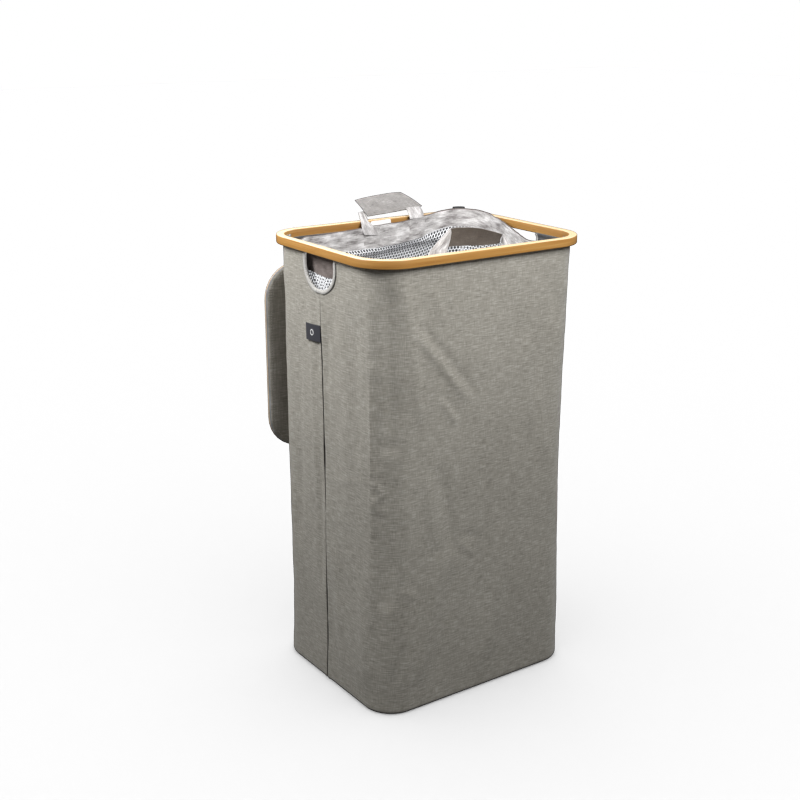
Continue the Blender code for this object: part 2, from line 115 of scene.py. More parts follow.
def isUpright(mesh, edge):
    a, b = (mesh.vertices[i].co for i in edge.vertices)
    return abs(a.z - b.z) > 0.9 * (a - b).length


def settle(piece):
    # place, turn and scale go into the mesh
    pick(piece)
    bpy.ops.object.transform_apply(location=True, rotation=True, scale=True)


def addModifier(piece, kind, **values):
    step = piece.modifiers.new(kind.lower(), kind)
    for key, value in values.items():
        setattr(step, key, value)
    pick(piece)
    bpy.ops.object.modifier_apply(modifier=step.name)


def soften(piece, angle=40):
    pick(piece)
    bpy.ops.object.shade_smooth_by_angle(angle=math.radians(angle))


def dress(piece, name, materials, body, stands=()):
    piece.name = piece.data.name = name
    wanted = materials if isinstance(materials, (list, tuple)) else [materials]
    while len(piece.data.materials) < len(wanted):
        piece.data.materials.append(None)
    for number, material in enumerate(wanted):
        piece.data.materials[number] = material
    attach(piece, body)
    if stands:
        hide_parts(*stands)
    return piece


def onOutline(share, halfX, halfY, radius):
    # a point on a round-cornered outline and the way out from it; share 0 is the middle of the left side,
    # and it grows by way of the front
    runX, runY, turn = halfX - radius, halfY - radius, math.pi * radius / 2
    legs = [runY, turn, 2 * runX, turn, 2 * runY, turn, 2 * runX, turn, runY]
    left = (share % 1.0) * sum(legs)
    if share >= 1.0:
        left = (share - 1.0) * sum(legs)
    for number, leg in enumerate(legs):
        if left <= leg or number == 8:
            break
        left -= leg
    if number % 2 == 0:
        start, way = {
            0: ((-halfX, 0), (0, -1)), 2: ((-runX, -halfY), (1, 0)), 4: ((halfX, -runY), (0, 1)),
            6: ((runX, halfY), (-1, 0)), 8: ((-halfX, runY), (0, -1)),
        }[number]
        return Vector((start[0] + way[0] * left, start[1] + way[1] * left)), Vector((way[1], -way[0]))
    centre, first = {
        1: ((-runX, -runY), 180), 3: ((runX, -runY), 270), 5: ((runX, runY), 0), 7: ((-runX, runY), 90),
    }[number]
    angle = math.radians(first + 90 * left / turn)
    out = Vector((math.cos(angle), math.sin(angle)))
    return Vector(centre) + out * radius, out


def girth(halfX, halfY, radius):
    return 4 * (halfX - radius) + 4 * (halfY - radius) + 2 * math.pi * radius


def steps(start, end, pitch):
    count = max(1, round(abs(end - start) / pitch))
    return [start + (end - start) * i / count for i in range(count + 1)]


def bump(value, middle, width):
    return math.exp(-(((value - middle) / width) ** 2))


def ease(value, low, high):
    t = min(1.0, max(0.0, (value - low) / (high - low)))
    return t * t * (3 - 2 * t)


def layCloth(across, up, place):
    # a flat cut of cloth with its own UV map in metres, laid where place says
    dropPicks()
    columns, rows = len(across) - 1, len(up) - 1
    bpy.ops.mesh.primitive_grid_add(x_subdivisions=columns, y_subdivisions=rows, size=1, location=(0, 0, 0))
    piece = bpy.context.object
    spots = [(round((v.co.x + 0.5) * columns), round((v.co.y + 0.5) * rows)) for v in piece.data.vertices]
    for loop in piece.data.loops:
        i, j = spots[loop.vertex_index]
        piece.data.uv_layers[0].data[loop.index].uv = across[i], up[j]
    for vertex, (i, j) in zip(piece.data.vertices, spots):
        vertex.co = place(across[i], up[j])
    return piece


def weld(piece, distance=0.00002):
    editPick(piece, "VERT", lambda mesh, part: True)
    bpy.ops.mesh.remove_doubles(threshold=distance)
    leaveEdit()


def thicken(piece, depth, inside=None, offset=-1):
    addModifier(piece, "SOLIDIFY", thickness=depth, offset=offset, use_even_offset=False,
                material_offset=1 if inside else 0, material_offset_rim=0)


def joinPieces(pieces):
    pick(*pieces)
    bpy.ops.object.join()
    return pieces[0]


def runLengths(points):
    # distance from the first point to each
    lengths = [0.0]
    for a, b in zip(points, points[1:]):
        lengths.append(lengths[-1] + math.dist(a, b))
    return lengths


def nearest(values, wanted):
    return min(range(len(values)), key=lambda i: abs(values[i] - wanted))


# materials


def put(tree, kind, **values):
    made = tree.nodes.new(kind)
    for key, value in values.items():
        if key in made.inputs:
            made.inputs[key].default_value = value
        else:
            setattr(made, key, value)
    return made


def newMaterial(name, roughness, sheen=0.0, metallic=0.0):
    made = bpy.data.materials.new(name)
    made.use_nodes = True
    tree = made.node_tree
    shader = tree.nodes["Principled BSDF"]
    shader.inputs["Roughness"].default_value = roughness
    shader.inputs["Metallic"].default_value = metallic
    shader.inputs["Sheen Weight"].default_value = sheen
    return made, tree, shader


def coordinates(tree, source="UV"):
    return put(tree, "ShaderNodeTexCoord").outputs[source]


def stretched(tree, where, scale, detail=2.0, roughness=0.5):
    # noise drawn out along one way, as fibres and slubs are
    spread = put(tree, "ShaderNodeMapping", Scale=scale)
    cloud = put(tree, "ShaderNodeTexNoise", Scale=1.0, Detail=detail, Roughness=roughness)
    tree.links.new(where, spread.inputs["Vector"])
    tree.links.new(spread.outputs["Vector"], cloud.inputs["Vector"])
    return cloud.outputs["Fac"]


def sums(tree, first, second, share):
    # first + second * share
    made = put(tree, "ShaderNodeMath", operation="MULTIPLY_ADD")
    tree.links.new(second, made.inputs[0])
    made.inputs[1].default_value = share
    tree.links.new(first, made.inputs[2])
    return made.outputs[0]


def timesValue(tree, value, share):
    made = put(tree, "ShaderNodeMath", operation="MULTIPLY")
    tree.links.new(value, made.inputs[0])
    made.inputs[1].default_value = share
    return made.outputs[0]


def ramp(tree, value, stops):
    made = tree.nodes.new("ShaderNodeValToRGB")
    made.color_ramp.interpolation = "EASE"
    while len(made.color_ramp.elements) < len(stops):
        made.color_ramp.elements.new(0.5)
    for element, (position, colour) in zip(made.color_ramp.elements, stops):
        element.position = position
        element.color = (*colour, 1.0)
    tree.links.new(value, made.inputs[0])
    return made.outputs[0]


def tint(tree, base, over, share, way="MIX"):
    made = put(tree, "ShaderNodeMix", data_type="RGBA", blend_type=way)
    if isinstance(share, float):
        made.inputs[0].default_value = share
    else:
        tree.links.new(share, made.inputs[0])
    tree.links.new(base, made.inputs[6])
    if isinstance(over, tuple):
        made.inputs[7].default_value = (*over, 1.0)
    else:
        tree.links.new(over, made.inputs[7])
    return made.outputs[2]


def raised(tree, shader, height, strength, distance):
    made = put(tree, "ShaderNodeBump", Strength=strength, Distance=distance)
    tree.links.new(height, made.inputs["Height"])
    tree.links.new(made.outputs["Normal"], shader.inputs["Normal"])


def threads(tree, where, pitch):
    # plain weave: two sets of threads, each a soft wave across the other
    parts = []
    for way in ("X", "Y"):
        wave = put(tree, "ShaderNodeTexWave", Scale=0.314 / pitch, Distortion=1.2, Detail=2.0, bands_direction=way)
        wave.inputs["Detail Scale"].default_value = 60.0
        tree.links.new(where, wave.inputs["Vector"])
        parts.append(wave.outputs["Fac"])
    both = put(tree, "ShaderNodeMath", operation="MAXIMUM")
    tree.links.new(parts[0], both.inputs[0])
    tree.links.new(parts[1], both.inputs[1])
    return both.outputs[0]


def fabricMaterial(name, look):
    # dark and light yarns in slubs along and across the cloth, over a slow drift of colour
    made, tree, shader = newMaterial(name, look["roughness"], look["sheen"])
    where = coordinates(tree, look.get("source", "UV"))
    longways = stretched(tree, where, look["slub"], 3.0, 0.6)
    across = stretched(tree, where, look["cross"], 2.0)
    drift = stretched(tree, where, look["drift"], 4.0)
    weave = threads(tree, where, look["thread"])
    value = sums(tree, longways, across, look["crossShare"])
    value = sums(tree, value, drift, look["driftShare"])
    value = sums(tree, value, weave, look["weaveShare"])
    whole = 1 + look["crossShare"] + look["driftShare"] + look["weaveShare"]
    value = timesValue(tree, value, 1 / whole)
    spread = look["spread"]
    colour = ramp(tree, value, [(0.5 - spread, look["dark"]), (0.5, look["mid"]), (0.5 + spread, look["light"])])
    tree.links.new(colour, shader.inputs["Base Color"])
    relief = sums(tree, weave, longways, 1.5)
    raised(tree, shader, relief, look["relief"], 0.0004)
    rough = ramp(tree, longways, [(0.3, (look["roughness"] - 0.08,) * 3),
                                  (0.7, (min(1.0, look["roughness"] + 0.06),) * 3)])
    tree.links.new(rough, shader.inputs["Roughness"])
    return made


linenLook = {
    "roughness": 0.9, "sheen": 0.10, "slub": (62.0, 540.0, 62.0), "cross": (640.0, 75.0, 60.0), "crossShare": 0.45,
    "drift": (7.0, 9.0, 7.0), "driftShare": 0.16, "thread": 0.0007, "weaveShare": 0.10, "spread": 0.13,
    "relief": 0.35,
    "dark": (0.178, 0.164, 0.138), "mid": (0.268, 0.253, 0.218), "light": (0.372, 0.356, 0.318),
}
bandLook = dict(linenLook, slub=(70.0, 700.0, 50.0), cross=(900.0, 160.0, 60.0), crossShare=0.25,
                drift=(30.0, 90.0, 30.0), driftShare=1.5,
                spread=0.105, dark=(0.180, 0.166, 0.163), mid=(0.430, 0.413, 0.407), light=(0.720, 0.705, 0.700))
# painted shade: the band's outer face is coloured dark brown-grey for the shadow it lies in behind the hand holes
bandOuterShadeLook = dict(bandLook, dark=(0.080, 0.062, 0.056), mid=(0.130, 0.104, 0.095), light=(0.190, 0.160, 0.150))
strapLook = dict(linenLook, drift=(40.0, 90.0, 40.0), driftShare=0.9, slub=(150.0, 900.0, 120.0), spread=0.15,
                 dark=(0.125, 0.117, 0.111), mid=(0.245, 0.232, 0.224), light=(0.390, 0.375, 0.365))
# painted shade: the strap's other face is coloured dark brown-grey for the shaded underside of the grips
strapShadeLook = dict(strapLook, dark=(0.060, 0.046, 0.036), mid=(0.100, 0.080, 0.064), light=(0.150, 0.125, 0.105))
lidLook = dict(linenLook, dark=(0.155, 0.142, 0.120), mid=(0.240, 0.223, 0.193), light=(0.345, 0.325, 0.290))
tapeLook = dict(linenLook, slub=(500.0, 500.0, 500.0), dark=(0.30, 0.29, 0.275), mid=(0.40, 0.39, 0.37),
                light=(0.49, 0.48, 0.46))
# painted shade: the cover's inner face is coloured dark grey for the shaded gap behind the net
innerCoatShadeLook = dict(linenLook, roughness=0.6, sheen=0.0, weaveShare=0.06, relief=0.12, dark=(0.070, 0.070, 0.074),
                mid=(0.100, 0.100, 0.105), light=(0.135, 0.135, 0.140))
baseLook = dict(linenLook, dark=(0.12, 0.11, 0.095), mid=(0.20, 0.19, 0.165), light=(0.28, 0.27, 0.245))

linen = fabricMaterial("linenLookFabric", linenLook)
bandFabric = fabricMaterial("bagBandFabric", bandLook)
strapFabric = fabricMaterial("strapFabric", strapLook)
bandOuterPaintedShade = fabricMaterial("bagBandOuterPaintedShade", bandOuterShadeLook)
strapPaintedShade = fabricMaterial("strapUndersidePaintedShade", strapShadeLook)
lidFabric = fabricMaterial("lidFabric", dict(lidLook, source="Object", slub=(60.0, 60.0, 1100.0)))
lidEdge = fabricMaterial("lidEdgeFabric",
                         dict(lidLook, source="Object", slub=(400.0, 400.0, 60.0), dark=(0.110, 0.110, 0.113),
                              mid=(0.170, 0.171, 0.175),
                                               light=(0.245, 0.247, 0.252)))
tapeFabric = fabricMaterial("foldedTape", tapeLook)
innerCoatPaintedShade = fabricMaterial("innerCoatPaintedShade", innerCoatShadeLook)
# painted shade: near-black linen for the shadowed furrow of the side seams; the seam allowance is really the same
# linen
seamFurrowPaintedShade = fabricMaterial("seamFurrowPaintedShade", dict(linenLook, dark=(0.028, 0.026, 0.022), mid=(0.045, 0.042, 0.036),
                                             light=(0.070, 0.066, 0.058)))
baseFabric = fabricMaterial("baseFabric", dict(baseLook, source="Object"))
sleeveFabric = fabricMaterial("sleeveFabric", dict(bandLook, source="Object"))


def bambooMaterial():
    # fibres run round the ring, with darker knots and the joints of the strips it is laminated from
    look = {"knots": (0.055, 0.235, 0.392, 0.565, 0.760, 0.930, 1.105, 1.235), "knotWidth": 0.0007,
            "jointWidth": 0.00014, "joints": (0.0042, 0.0085, 0.0168, 0.0212)}
    made, tree, shader = newMaterial("laminatedBamboo", 0.42)
    where = coordinates(tree)
    fibres = stretched(tree, where, (9.0, 1500.0, 1.0), 4.0, 0.65)
    broad = stretched(tree, where, (5.0, 190.0, 1.0), 2.0)
    value = timesValue(tree, sums(tree, fibres, broad, 0.9), 0.53)
    colour = ramp(tree, value, [(0.34, (0.260, 0.108, 0.018)), (0.50, (0.375, 0.186, 0.043)),
                                (0.66, (0.480, 0.272, 0.085))])
    apart = put(tree, "ShaderNodeSeparateXYZ")
    tree.links.new(where, apart.inputs[0])
    wobble = sums(tree, apart.outputs["X"], stretched(tree, where, (1.0, 260.0, 1.0)), 0.004)
    marks = None
    for at in look["knots"]:
        near = put(tree, "ShaderNodeMath", operation="COMPARE")
        tree.links.new(wobble, near.inputs[0])
        near.inputs[1].default_value, near.inputs[2].default_value = at + 0.002, look["knotWidth"]
        marks = near.outputs[0] if marks is None else sums(tree, marks, near.outputs[0], 1.0)
    colour = tint(tree, colour, (0.34, 0.165, 0.055), timesValue(tree, marks, 0.45))
    # painted light: faces that point up are tinted pale cream, as the top of the ring looks under the light from
    # above
    facing = put(tree, "ShaderNodeSeparateXYZ")
    tree.links.new(coordinates(tree, "Normal"), facing.inputs[0])
    paintedTopLight = put(tree, "ShaderNodeMapRange")
    paintedTopLight.inputs["From Min"].default_value, paintedTopLight.inputs["From Max"].default_value = 0.55, 0.95
    tree.links.new(facing.outputs["Z"], paintedTopLight.inputs["Value"])
    colour = tint(tree, colour, (0.86, 0.68, 0.42), timesValue(tree, paintedTopLight.outputs[0], 0.62))
    lines = None
    for at in look["joints"]:
        near = put(tree, "ShaderNodeMath", operation="COMPARE")
        tree.links.new(apart.outputs["Y"], near.inputs[0])
        near.inputs[1].default_value, near.inputs[2].default_value = at, look["jointWidth"]
        lines = near.outputs[0] if lines is None else sums(tree, lines, near.outputs[0], 1.0)
    colour = tint(tree, colour, (0.30, 0.150, 0.055), timesValue(tree, lines, 0.5))
    tree.links.new(colour, shader.inputs["Base Color"])
    shader.inputs["Coat Weight"].default_value = 0.18
    shader.inputs["Coat Roughness"].default_value = 0.25
    raised(tree, shader, sums(tree, fibres, lines, -0.6), 0.18, 0.0003)
    return made


def mottledMaterial(name, dark, light, roughness, scale, metallic=0.0, relief=0.1, sheen=0.0):
    # scale is one number, or one for each way
    made, tree, shader = newMaterial(name, roughness, sheen, metallic)
    where = coordinates(tree, "Object")
    cloud = stretched(tree, where, scale if isinstance(scale, tuple) else (scale,) * 3, 4.0, 0.6)
    tree.links.new(ramp(tree, cloud, [(0.32, dark), (0.68, light)]), shader.inputs["Base Color"])
    rough = ramp(tree, cloud, [(0.3, (max(0.0, roughness - 0.1),) * 3), (0.7, (min(1.0, roughness + 0.1),) * 3)])
    tree.links.new(rough, shader.inputs["Roughness"])
    raised(tree, shader, cloud, relief, 0.0003)
    return made


bamboo = bambooMaterial()
netThread = mottledMaterial("netThread", (0.66, 0.67, 0.69), (0.84, 0.85, 0.87), 0.75, 300.0, relief=0.3)
fibreBoard = mottledMaterial("fibreBoard", (0.40, 0.31, 0.22), (0.55, 0.45, 0.34), 0.85, 220.0, relief=0.3)
wadding = mottledMaterial("wadding", (0.74, 0.74, 0.72), (0.88, 0.88, 0.86), 0.95, 160.0, relief=0.6, sheen=0.2)
rodMetal = mottledMaterial("drawnTube", (0.58, 0.59, 0.60), (0.70, 0.71, 0.72), 0.32, (900.0, 900.0, 14.0), 1.0,
                           0.08)
screwMetal = mottledMaterial("platedSteel", (0.24, 0.23, 0.22), (0.34, 0.33, 0.31), 0.5, 600.0, 1.0, 0.1)
fitting = mottledMaterial("mouldedPlastic", (0.030, 0.030, 0.032), (0.048, 0.048, 0.050), 0.5, 900.0, relief=0.25)
labelCloth = mottledMaterial("wovenLabel", (0.010, 0.010, 0.016), (0.026, 0.026, 0.036), 0.7,
                             (700.0, 2600.0, 2600.0), relief=0.3, sheen=0.1)
labelMark = mottledMaterial("labelMark", (0.62, 0.62, 0.62), (0.78, 0.78, 0.78), 0.7, 900.0, relief=0.3)
tagCloth = mottledMaterial("satinTag", (0.78, 0.78, 0.77), (0.88, 0.88, 0.87), 0.55, (900.0, 900.0, 200.0),
                           relief=0.12, sheen=0.1)
tabCloth = mottledMaterial("hookTape", (0.012, 0.012, 0.013), (0.050, 0.050, 0.052), 0.9, 1400.0, relief=0.8)
sewingThread = mottledMaterial("sewingThread", (0.36, 0.35, 0.33), (0.52, 0.51, 0.48), 0.7, 2500.0, relief=0.4)

carried = {
    "base_board": fibreBoard, "lid_board": fibreBoard, "lid_padding": wadding,
    "support_rod_": rodMetal, "rod_foot_": fitting, "rim_socket_": fitting, "socket_screw_": screwMetal,
}
for nodeName, thing in frame["nodes"].items():
    for prefix, material in carried.items():
        if nodeName.startswith(prefix):
            thing.data.materials.clear()
            thing.data.materials.append(material)
print("materials made")

# stitches

stitchForm = {"length": 0.0030, "gap": 0.0014, "thick": 0.00042, "proud": 0.0001}


def sewLine(name, points, outs, body):
    # one stitch is made once and copied along the line, each copy lying on the cloth
    form = stitchForm
    dropPicks()
    bpy.ops.mesh.primitive_ico_sphere_add(subdivisions=1, radius=0.5, location=(0, 0, 0))
    first = bpy.context.object
    shape = [v.co.copy() for v in first.data.vertices]
    faces = [tuple(f.vertices) for f in first.data.polygons]
    lengths = runLengths(points)
    places, turns, at, leg = [], [], form["gap"], 0
    while at + form["length"] < lengths[-1]:
        middle = at + form["length"] / 2
        while leg < len(points) - 2 and lengths[leg + 1] < middle:
            leg += 1
        share = (middle - lengths[leg]) / max(1e-9, lengths[leg + 1] - lengths[leg])
        along = (points[leg + 1] - points[leg]).normalized()
        out = outs[leg].lerp(outs[leg + 1], share)
        out = (out - along * out.dot(along)).normalized()
        centre = points[leg].lerp(points[leg + 1], share) + out * form["proud"]
        side = along.cross(out)
        base = len(places)
        places += [centre + along * v.x * form["length"] + side * v.y * form["thick"] + out * v.z * form["thick"]
                   for v in shape]
        turns += [tuple(base + i for i in face[::-1]) for face in faces]
        at += form["length"] + form["gap"]
    first.data.clear_geometry()
    first.data.from_pydata([tuple(p) for p in places], [], turns)
    faceOutward(first)
    return dress(first, name, sewingThread, body)


# bamboo rim

rim = {"corner": 0.0625, "width": 0.0125, "edge": 0.0014, "facets": 18, "edgeFacets": 3}
rimHalf = rimHigh.x, rimHigh.y


def makeRim():
    dropPicks()
    middle = (rimLow.z + rimHigh.z) / 2
    bpy.ops.mesh.primitive_cube_add(size=1, location=(0, 0, middle))
    piece = bpy.context.object
    piece.scale = 2 * rimHalf[0], 2 * rimHalf[1], rimHigh.z - rimLow.z
    settle(piece)
    roundEdges(piece, isUpright, rim["corner"], rim["facets"], clamp_overlap=False)
    # the middle of both flat faces goes, and the two openings are joined
    editPick(piece, "FACE", lambda mesh, face: abs(face.normal.z) > 0.9)
    bpy.ops.mesh.inset(thickness=rim["width"])
    bpy.ops.mesh.bridge_edge_loops()
    leaveEdit()

    def isLong(mesh, edge):
        # the four edges that run round the ring
        a, b = (mesh.vertices[i].co for i in edge.vertices)
        if abs(a.z - b.z) > 1e-5:
            return False
        far = [insetAt(p, *rimHalf, rim["corner"]) for p in (a, b)]
        return abs(far[0] - far[1]) < rim["width"] / 2

    roundEdges(piece, isLong, rim["edge"], rim["edgeFacets"], clamp_overlap=False)
    addModifier(piece, "SUBSURF", subdivision_type="SIMPLE", levels=1, render_levels=1)
    layer = piece.data.uv_layers.new(name="UVMap") if not piece.data.uv_layers else piece.data.uv_layers[0]
    whole = girth(*rimHalf, rim["corner"])
    for face in piece.data.polygons:
        spots = []
        for index in face.loop_indices:
            p = piece.data.vertices[piece.data.loops[index].vertex_index].co
            form = *rimHalf, rim["corner"]
            spots.append((index, roundAt(p, *form) * whole, insetAt(p, *form) + rimHigh.z - p.z))
        far = max(s[1] for s in spots)
        for index, u, v in spots:
            if far - u > whole / 2:
                u += whole
            layer.data[index].uv = u, v
    soften(piece, 50)
    return dress(piece, "rim_ring", bamboo, "hamper", ["bamboo_rim"])


def insetAt(p, halfX, halfY, radius):
    # how far a point lies inside a round-cornered outline
    x, y = abs(p.x) - (halfX - radius), abs(p.y) - (halfY - radius)
    if x > 0 and y > 0:
        return radius - math.hypot(x, y)
    return min(halfX - abs(p.x), halfY - abs(p.y))


def roundAt(p, halfX, halfY, radius):
    # share of the way round that a point lies at, the other way about from onOutline
    runX, runY, turn = halfX - radius, halfY - radius, math.pi * radius / 2
    whole = girth(halfX, halfY, radius)
    x, y = abs(p.x) - runX, abs(p.y) - runY
    if x > 0 and y > 0:
        part = runY + turn * math.atan2(y, x) / (math.pi / 2)
    elif halfX - abs(p.x) < halfY - abs(p.y) and y <= 0:
        part = abs(p.y)
    else:
        part = runY + turn + runX - abs(p.x)
    quarter = whole / 4
    if p.x <= 0 and p.y <= 0:
        at = part
    elif p.x > 0 and p.y <= 0:
        at = 2 * quarter - part
    elif p.x > 0:
        at = 2 * quarter + part
    else:
        at = whole - part
    return at / whole


makeRim()
print("rim made")

# fabric cover: two cuts of cloth that meet at the side seams

cover = {
    "inset": 0.0098, "hemInset": 0.0128, "corner": 0.0527, "baseHalf": (baseHigh.x, baseHigh.y),
    "baseCorner": 0.050, "bow": 0.004,
    "cloth": 0.0011, "turnUnder": 0.009, "footRound": 0.006, "seamTurn": 0.0032, "pitch": 0.0048,
    "seamShift": 0.0085, "seamReach": 0.095,
}
holeForm = {"half": 0.041, "bottom": rimLow.z - 0.053, "round": 0.034, "point": 0.0022}
# soft ridges and dents: the two ends as metres round and up the cloth, then rise and width
coverFolds = [
    (0.118, 0.660, 0.120, 0.400, 0.0036, 0.0075), (0.1185, 0.560, 0.1210, 0.300, 0.0026, 0.0036),
    (0.1290, 0.540, 0.1310, 0.320, -0.0018, 0.0040), (0.121, 0.400, 0.118, 0.150, 0.0024, 0.0080),
    (0.149, 0.690, 0.151, 0.440, -0.0062, 0.0125), (0.151, 0.440, 0.143, 0.190, -0.0036, 0.0120),
    (0.172, 0.690, 0.196, 0.480, 0.0034, 0.0100), (0.191, 0.605, 0.284, 0.494, 0.0036, 0.0052),
    (0.202, 0.618, 0.294, 0.508, -0.0024, 0.0046), (0.236, 0.500, 0.264, 0.460, 0.0026, 0.0042),
    (0.243, 0.506, 0.271, 0.467, -0.0016, 0.0040), (0.222, 0.672, 0.238, 0.618, 0.0022, 0.0060),
    (0.236, 0.390, 0.262, 0.255, -0.0034, 0.0100), (0.210, 0.380, 0.226, 0.270, 0.0022, 0.0090),
    (0.272, 0.264, 0.302, 0.236, 0.0022, 0.0042), (0.286, 0.276, 0.306, 0.262, -0.0020, 0.0040),
    (0.168, 0.206, 0.192, 0.190, 0.0018, 0.0042), (0.168, 0.110, 0.152, 0.050, -0.0026, 0.0065),
    (0.395, 0.570, 0.406, 0.430, 0.0026, 0.0120), (0.428, 0.480, 0.440, 0.370, 0.0024, 0.0085),
    (0.420, 0.680, 0.470, 0.600, -0.0022, 0.0150), (0.505, 0.560, 0.520, 0.260, -0.0036, 0.0120),
    (0.480, 0.300, 0.500, 0.060, 0.0024, 0.0120), (0.360, 0.260, 0.330, 0.060, 0.0022, 0.0140),
    (0.006, 0.350, 0.116, 0.384, 0.0010, 0.0026), (0.122, 0.384, 0.136, 0.366, 0.0024, 0.0030),
    (0.136, 0.366, 0.122, 0.350, 0.0022, 0.0030), (0.122, 0.350, 0.134, 0.334, 0.0022, 0.0032),
    (0.034, 0.362, 0.037, 0.312, 0.0016, 0.0026), (0.052, 0.640, 0.062, 0.300, 0.0020, 0.0140),
    (0.086, 0.620, 0.088, 0.420, -0.0020, 0.0120), (0.018, 0.600, 0.013, 0.500, -0.0022, 0.0060),
    (0.235, 0.240, 0.196, 0.050, 0.0028, 0.0120), (0.262, 0.210, 0.232, 0.050, -0.0024, 0.0120),
    (0.092, 0.220, 0.104, 0.045, 0.0024, 0.0130), (0.020, 0.240, 0.040, 0.050, 0.0020, 0.0110),
    (0.700, 0.560, 0.760, 0.380, 0.0030, 0.0100), (0.860, 0.600, 0.800, 0.420, -0.0026, 0.0130),
    (0.950, 0.360, 1.060, 0.330, 0.0024, 0.0060), (1.120, 0.600, 1.150, 0.200, 0.0032, 0.0120),
    (1.180, 0.560, 1.170, 0.250, -0.0028, 0.0120), (0.800, 0.260, 0.850, 0.060, 0.0026, 0.0120),
    (1.238, 0.640, 1.244, 0.520, -0.0026, 0.0075), (1.226, 0.560, 1.230, 0.300, 0.0024, 0.0070),
    (1.244, 0.420, 1.240, 0.150, -0.0020, 0.0060),
]


def coverOutline(z):
    share = min(1.0, z / rimLow.z)
    pull = 4 * cover["bow"] * share * (1 - share)
    top = rimHalf[0] - cover["inset"], rimHalf[1] - cover["inset"]
    sizes = [low * (1 - share) + high * share - pull for low, high in zip(cover["baseHalf"], top)]
    return sizes[0], sizes[1], cover["baseCorner"] * (1 - share) + cover["corner"] * share


def foldHeight(folds, a, z):
    total = 0.0
    for a0, z0, a1, z1, rise, width in folds:
        da, dz = a1 - a0, z1 - z0
        long = da * da + dz * dz
        t = ((a - a0) * da + (z - z0) * dz) / long
        near = math.hypot(a - a0 - da * min(1, max(0, t)), z - z0 - dz * min(1, max(0, t)))
        if near < 4 * width:
            fade = ease(t, -0.25, 0.25) * (1 - ease(t, 0.75, 1.25))
            total += rise * fade * math.exp(-((near / width) ** 2))
    return total


coverGirth = girth(*coverOutline(rimLow.z / 2))


def coverPoint(share, along, out=0.0, wall=True):
    # along is the distance up the cloth from its turned-under edge
    under, foot = cover["turnUnder"], cover["footRound"]
    curve = foot * math.pi / 2
    hemStart = rimLow.z - 0.0068
    if along < under:
        inset, z = foot + under - along, 0.0004
        z += 0.0008 * (1 - along / under)
    elif along < under + curve:
        angle = (along - under) / foot
        inset, z = foot * (1 - math.sin(angle)), 0.0004 + foot * (1 - math.cos(angle))
    else:
        inset, z = 0.0, 0.0004 + foot + along - under - curve
    tuck = ease(z, hemStart, rimLow.z - 0.0004)
    halfX, halfY, radius = coverOutline(min(z, hemStart))
    inset += tuck * (halfX - (rimHalf[0] - cover["hemInset"]))
    place, way = onOutline(share, halfX - inset, halfY - inset, radius - inset)
    body = ease(z, 0.006, 0.07) * (1 - ease(z, 0.655, hemStart))
    distance = share * coverGirth
    wave = noise.noise(Vector((distance * 11, z * 6, 2.0))) * 0.0022
    wave += noise.noise(Vector((distance * 30, z * 19, 7.0))) * 0.0007
    push = out
    if wall:
        push += body * (wave + foldHeight(coverFolds, distance, z)) - 0.0006
        push += 0.0004 * noise.noise(Vector((distance * 90, z * 60, 1.0))) * ease(z, 0.004, 0.02) * (1 - tuck)
    return Vector((place.x + way.x * push, place.y + way.y * push, z)), Vector((way.x, way.y, 0))


coverUp = cover["turnUnder"] + cover["footRound"] * (math.pi / 2 - 1) + rimLow.z + 0.0006


def slideSeam(piece):
    # the left seam lies a little behind the middle of its wall
    reach = cover["seamReach"]
    for vertex in piece.data.vertices:
        if vertex.co.x < 0 and abs(vertex.co.y) < reach:
            vertex.co.y += cover["seamShift"] * (1 - (vertex.co.y / reach) ** 2) ** 2


def makeCoverPanel(side):
    start = 0.0 if side < 0 else 0.5
    width = coverGirth / 2
    turn = cover["seamTurn"]
    across = [-turn, -turn * 0.5, 0.0, 0.0006, 0.0015] + steps(0.004, width - 0.004, cover["pitch"])
    across += [width - 0.0015, width - 0.0006, width, width + turn * 0.5, width + turn]
    under = cover["turnUnder"]
    up = steps(0, under, 0.003)[:-1] + steps(under, under + 0.0094, 0.00157)[:-1]
    up += steps(under + 0.0094, coverUp - 0.0085, cover["pitch"])[:-1] + steps(coverUp - 0.0085, coverUp, 0.0014)

    def place(a, b):
        sink = max(0.0, -a, a - width)
        room = 0.0016 - 0.0014 * sink / turn
        held = min(width - room, max(room, a))
        edge = min(a, width - a)
        out = -sink - 0.0014 * max(0.0, 1 - max(0.0, edge) / 0.0022)
        out += (0.0014 if side < 0 else 0.0004) * bump(edge, 0.0042, 0.0030)
        return coverPoint(start + held / coverGirth, b, out)[0]

    piece = layCloth(across, up, place)
    cutHandHoles(piece)
    piece.data.materials.append(linen)
    # the second material, on the cover's inner face, is the dark painted shade of the gap behind the net
    piece.data.materials.append(innerCoatPaintedShade)
    piece.data.materials.append(seamFurrowPaintedShade)
    # faces of the turned-in seam flanges take the near-black painted shade of the seam furrow
    for face in piece.data.polygons:
        if abs(face.center.y) < 0.0018:
            face.material_index = 2
    slideSeam(piece)
    thicken(piece, cover["cloth"], inside=True)
    soften(piece, 60)
    word = "front" if side < 0 else "back"
    dress(piece, "cover_cloth_" + word, [linen, innerCoatPaintedShade, seamFurrowPaintedShade], "hamper",
          ["cover_%s_panel" % word])
    return piece


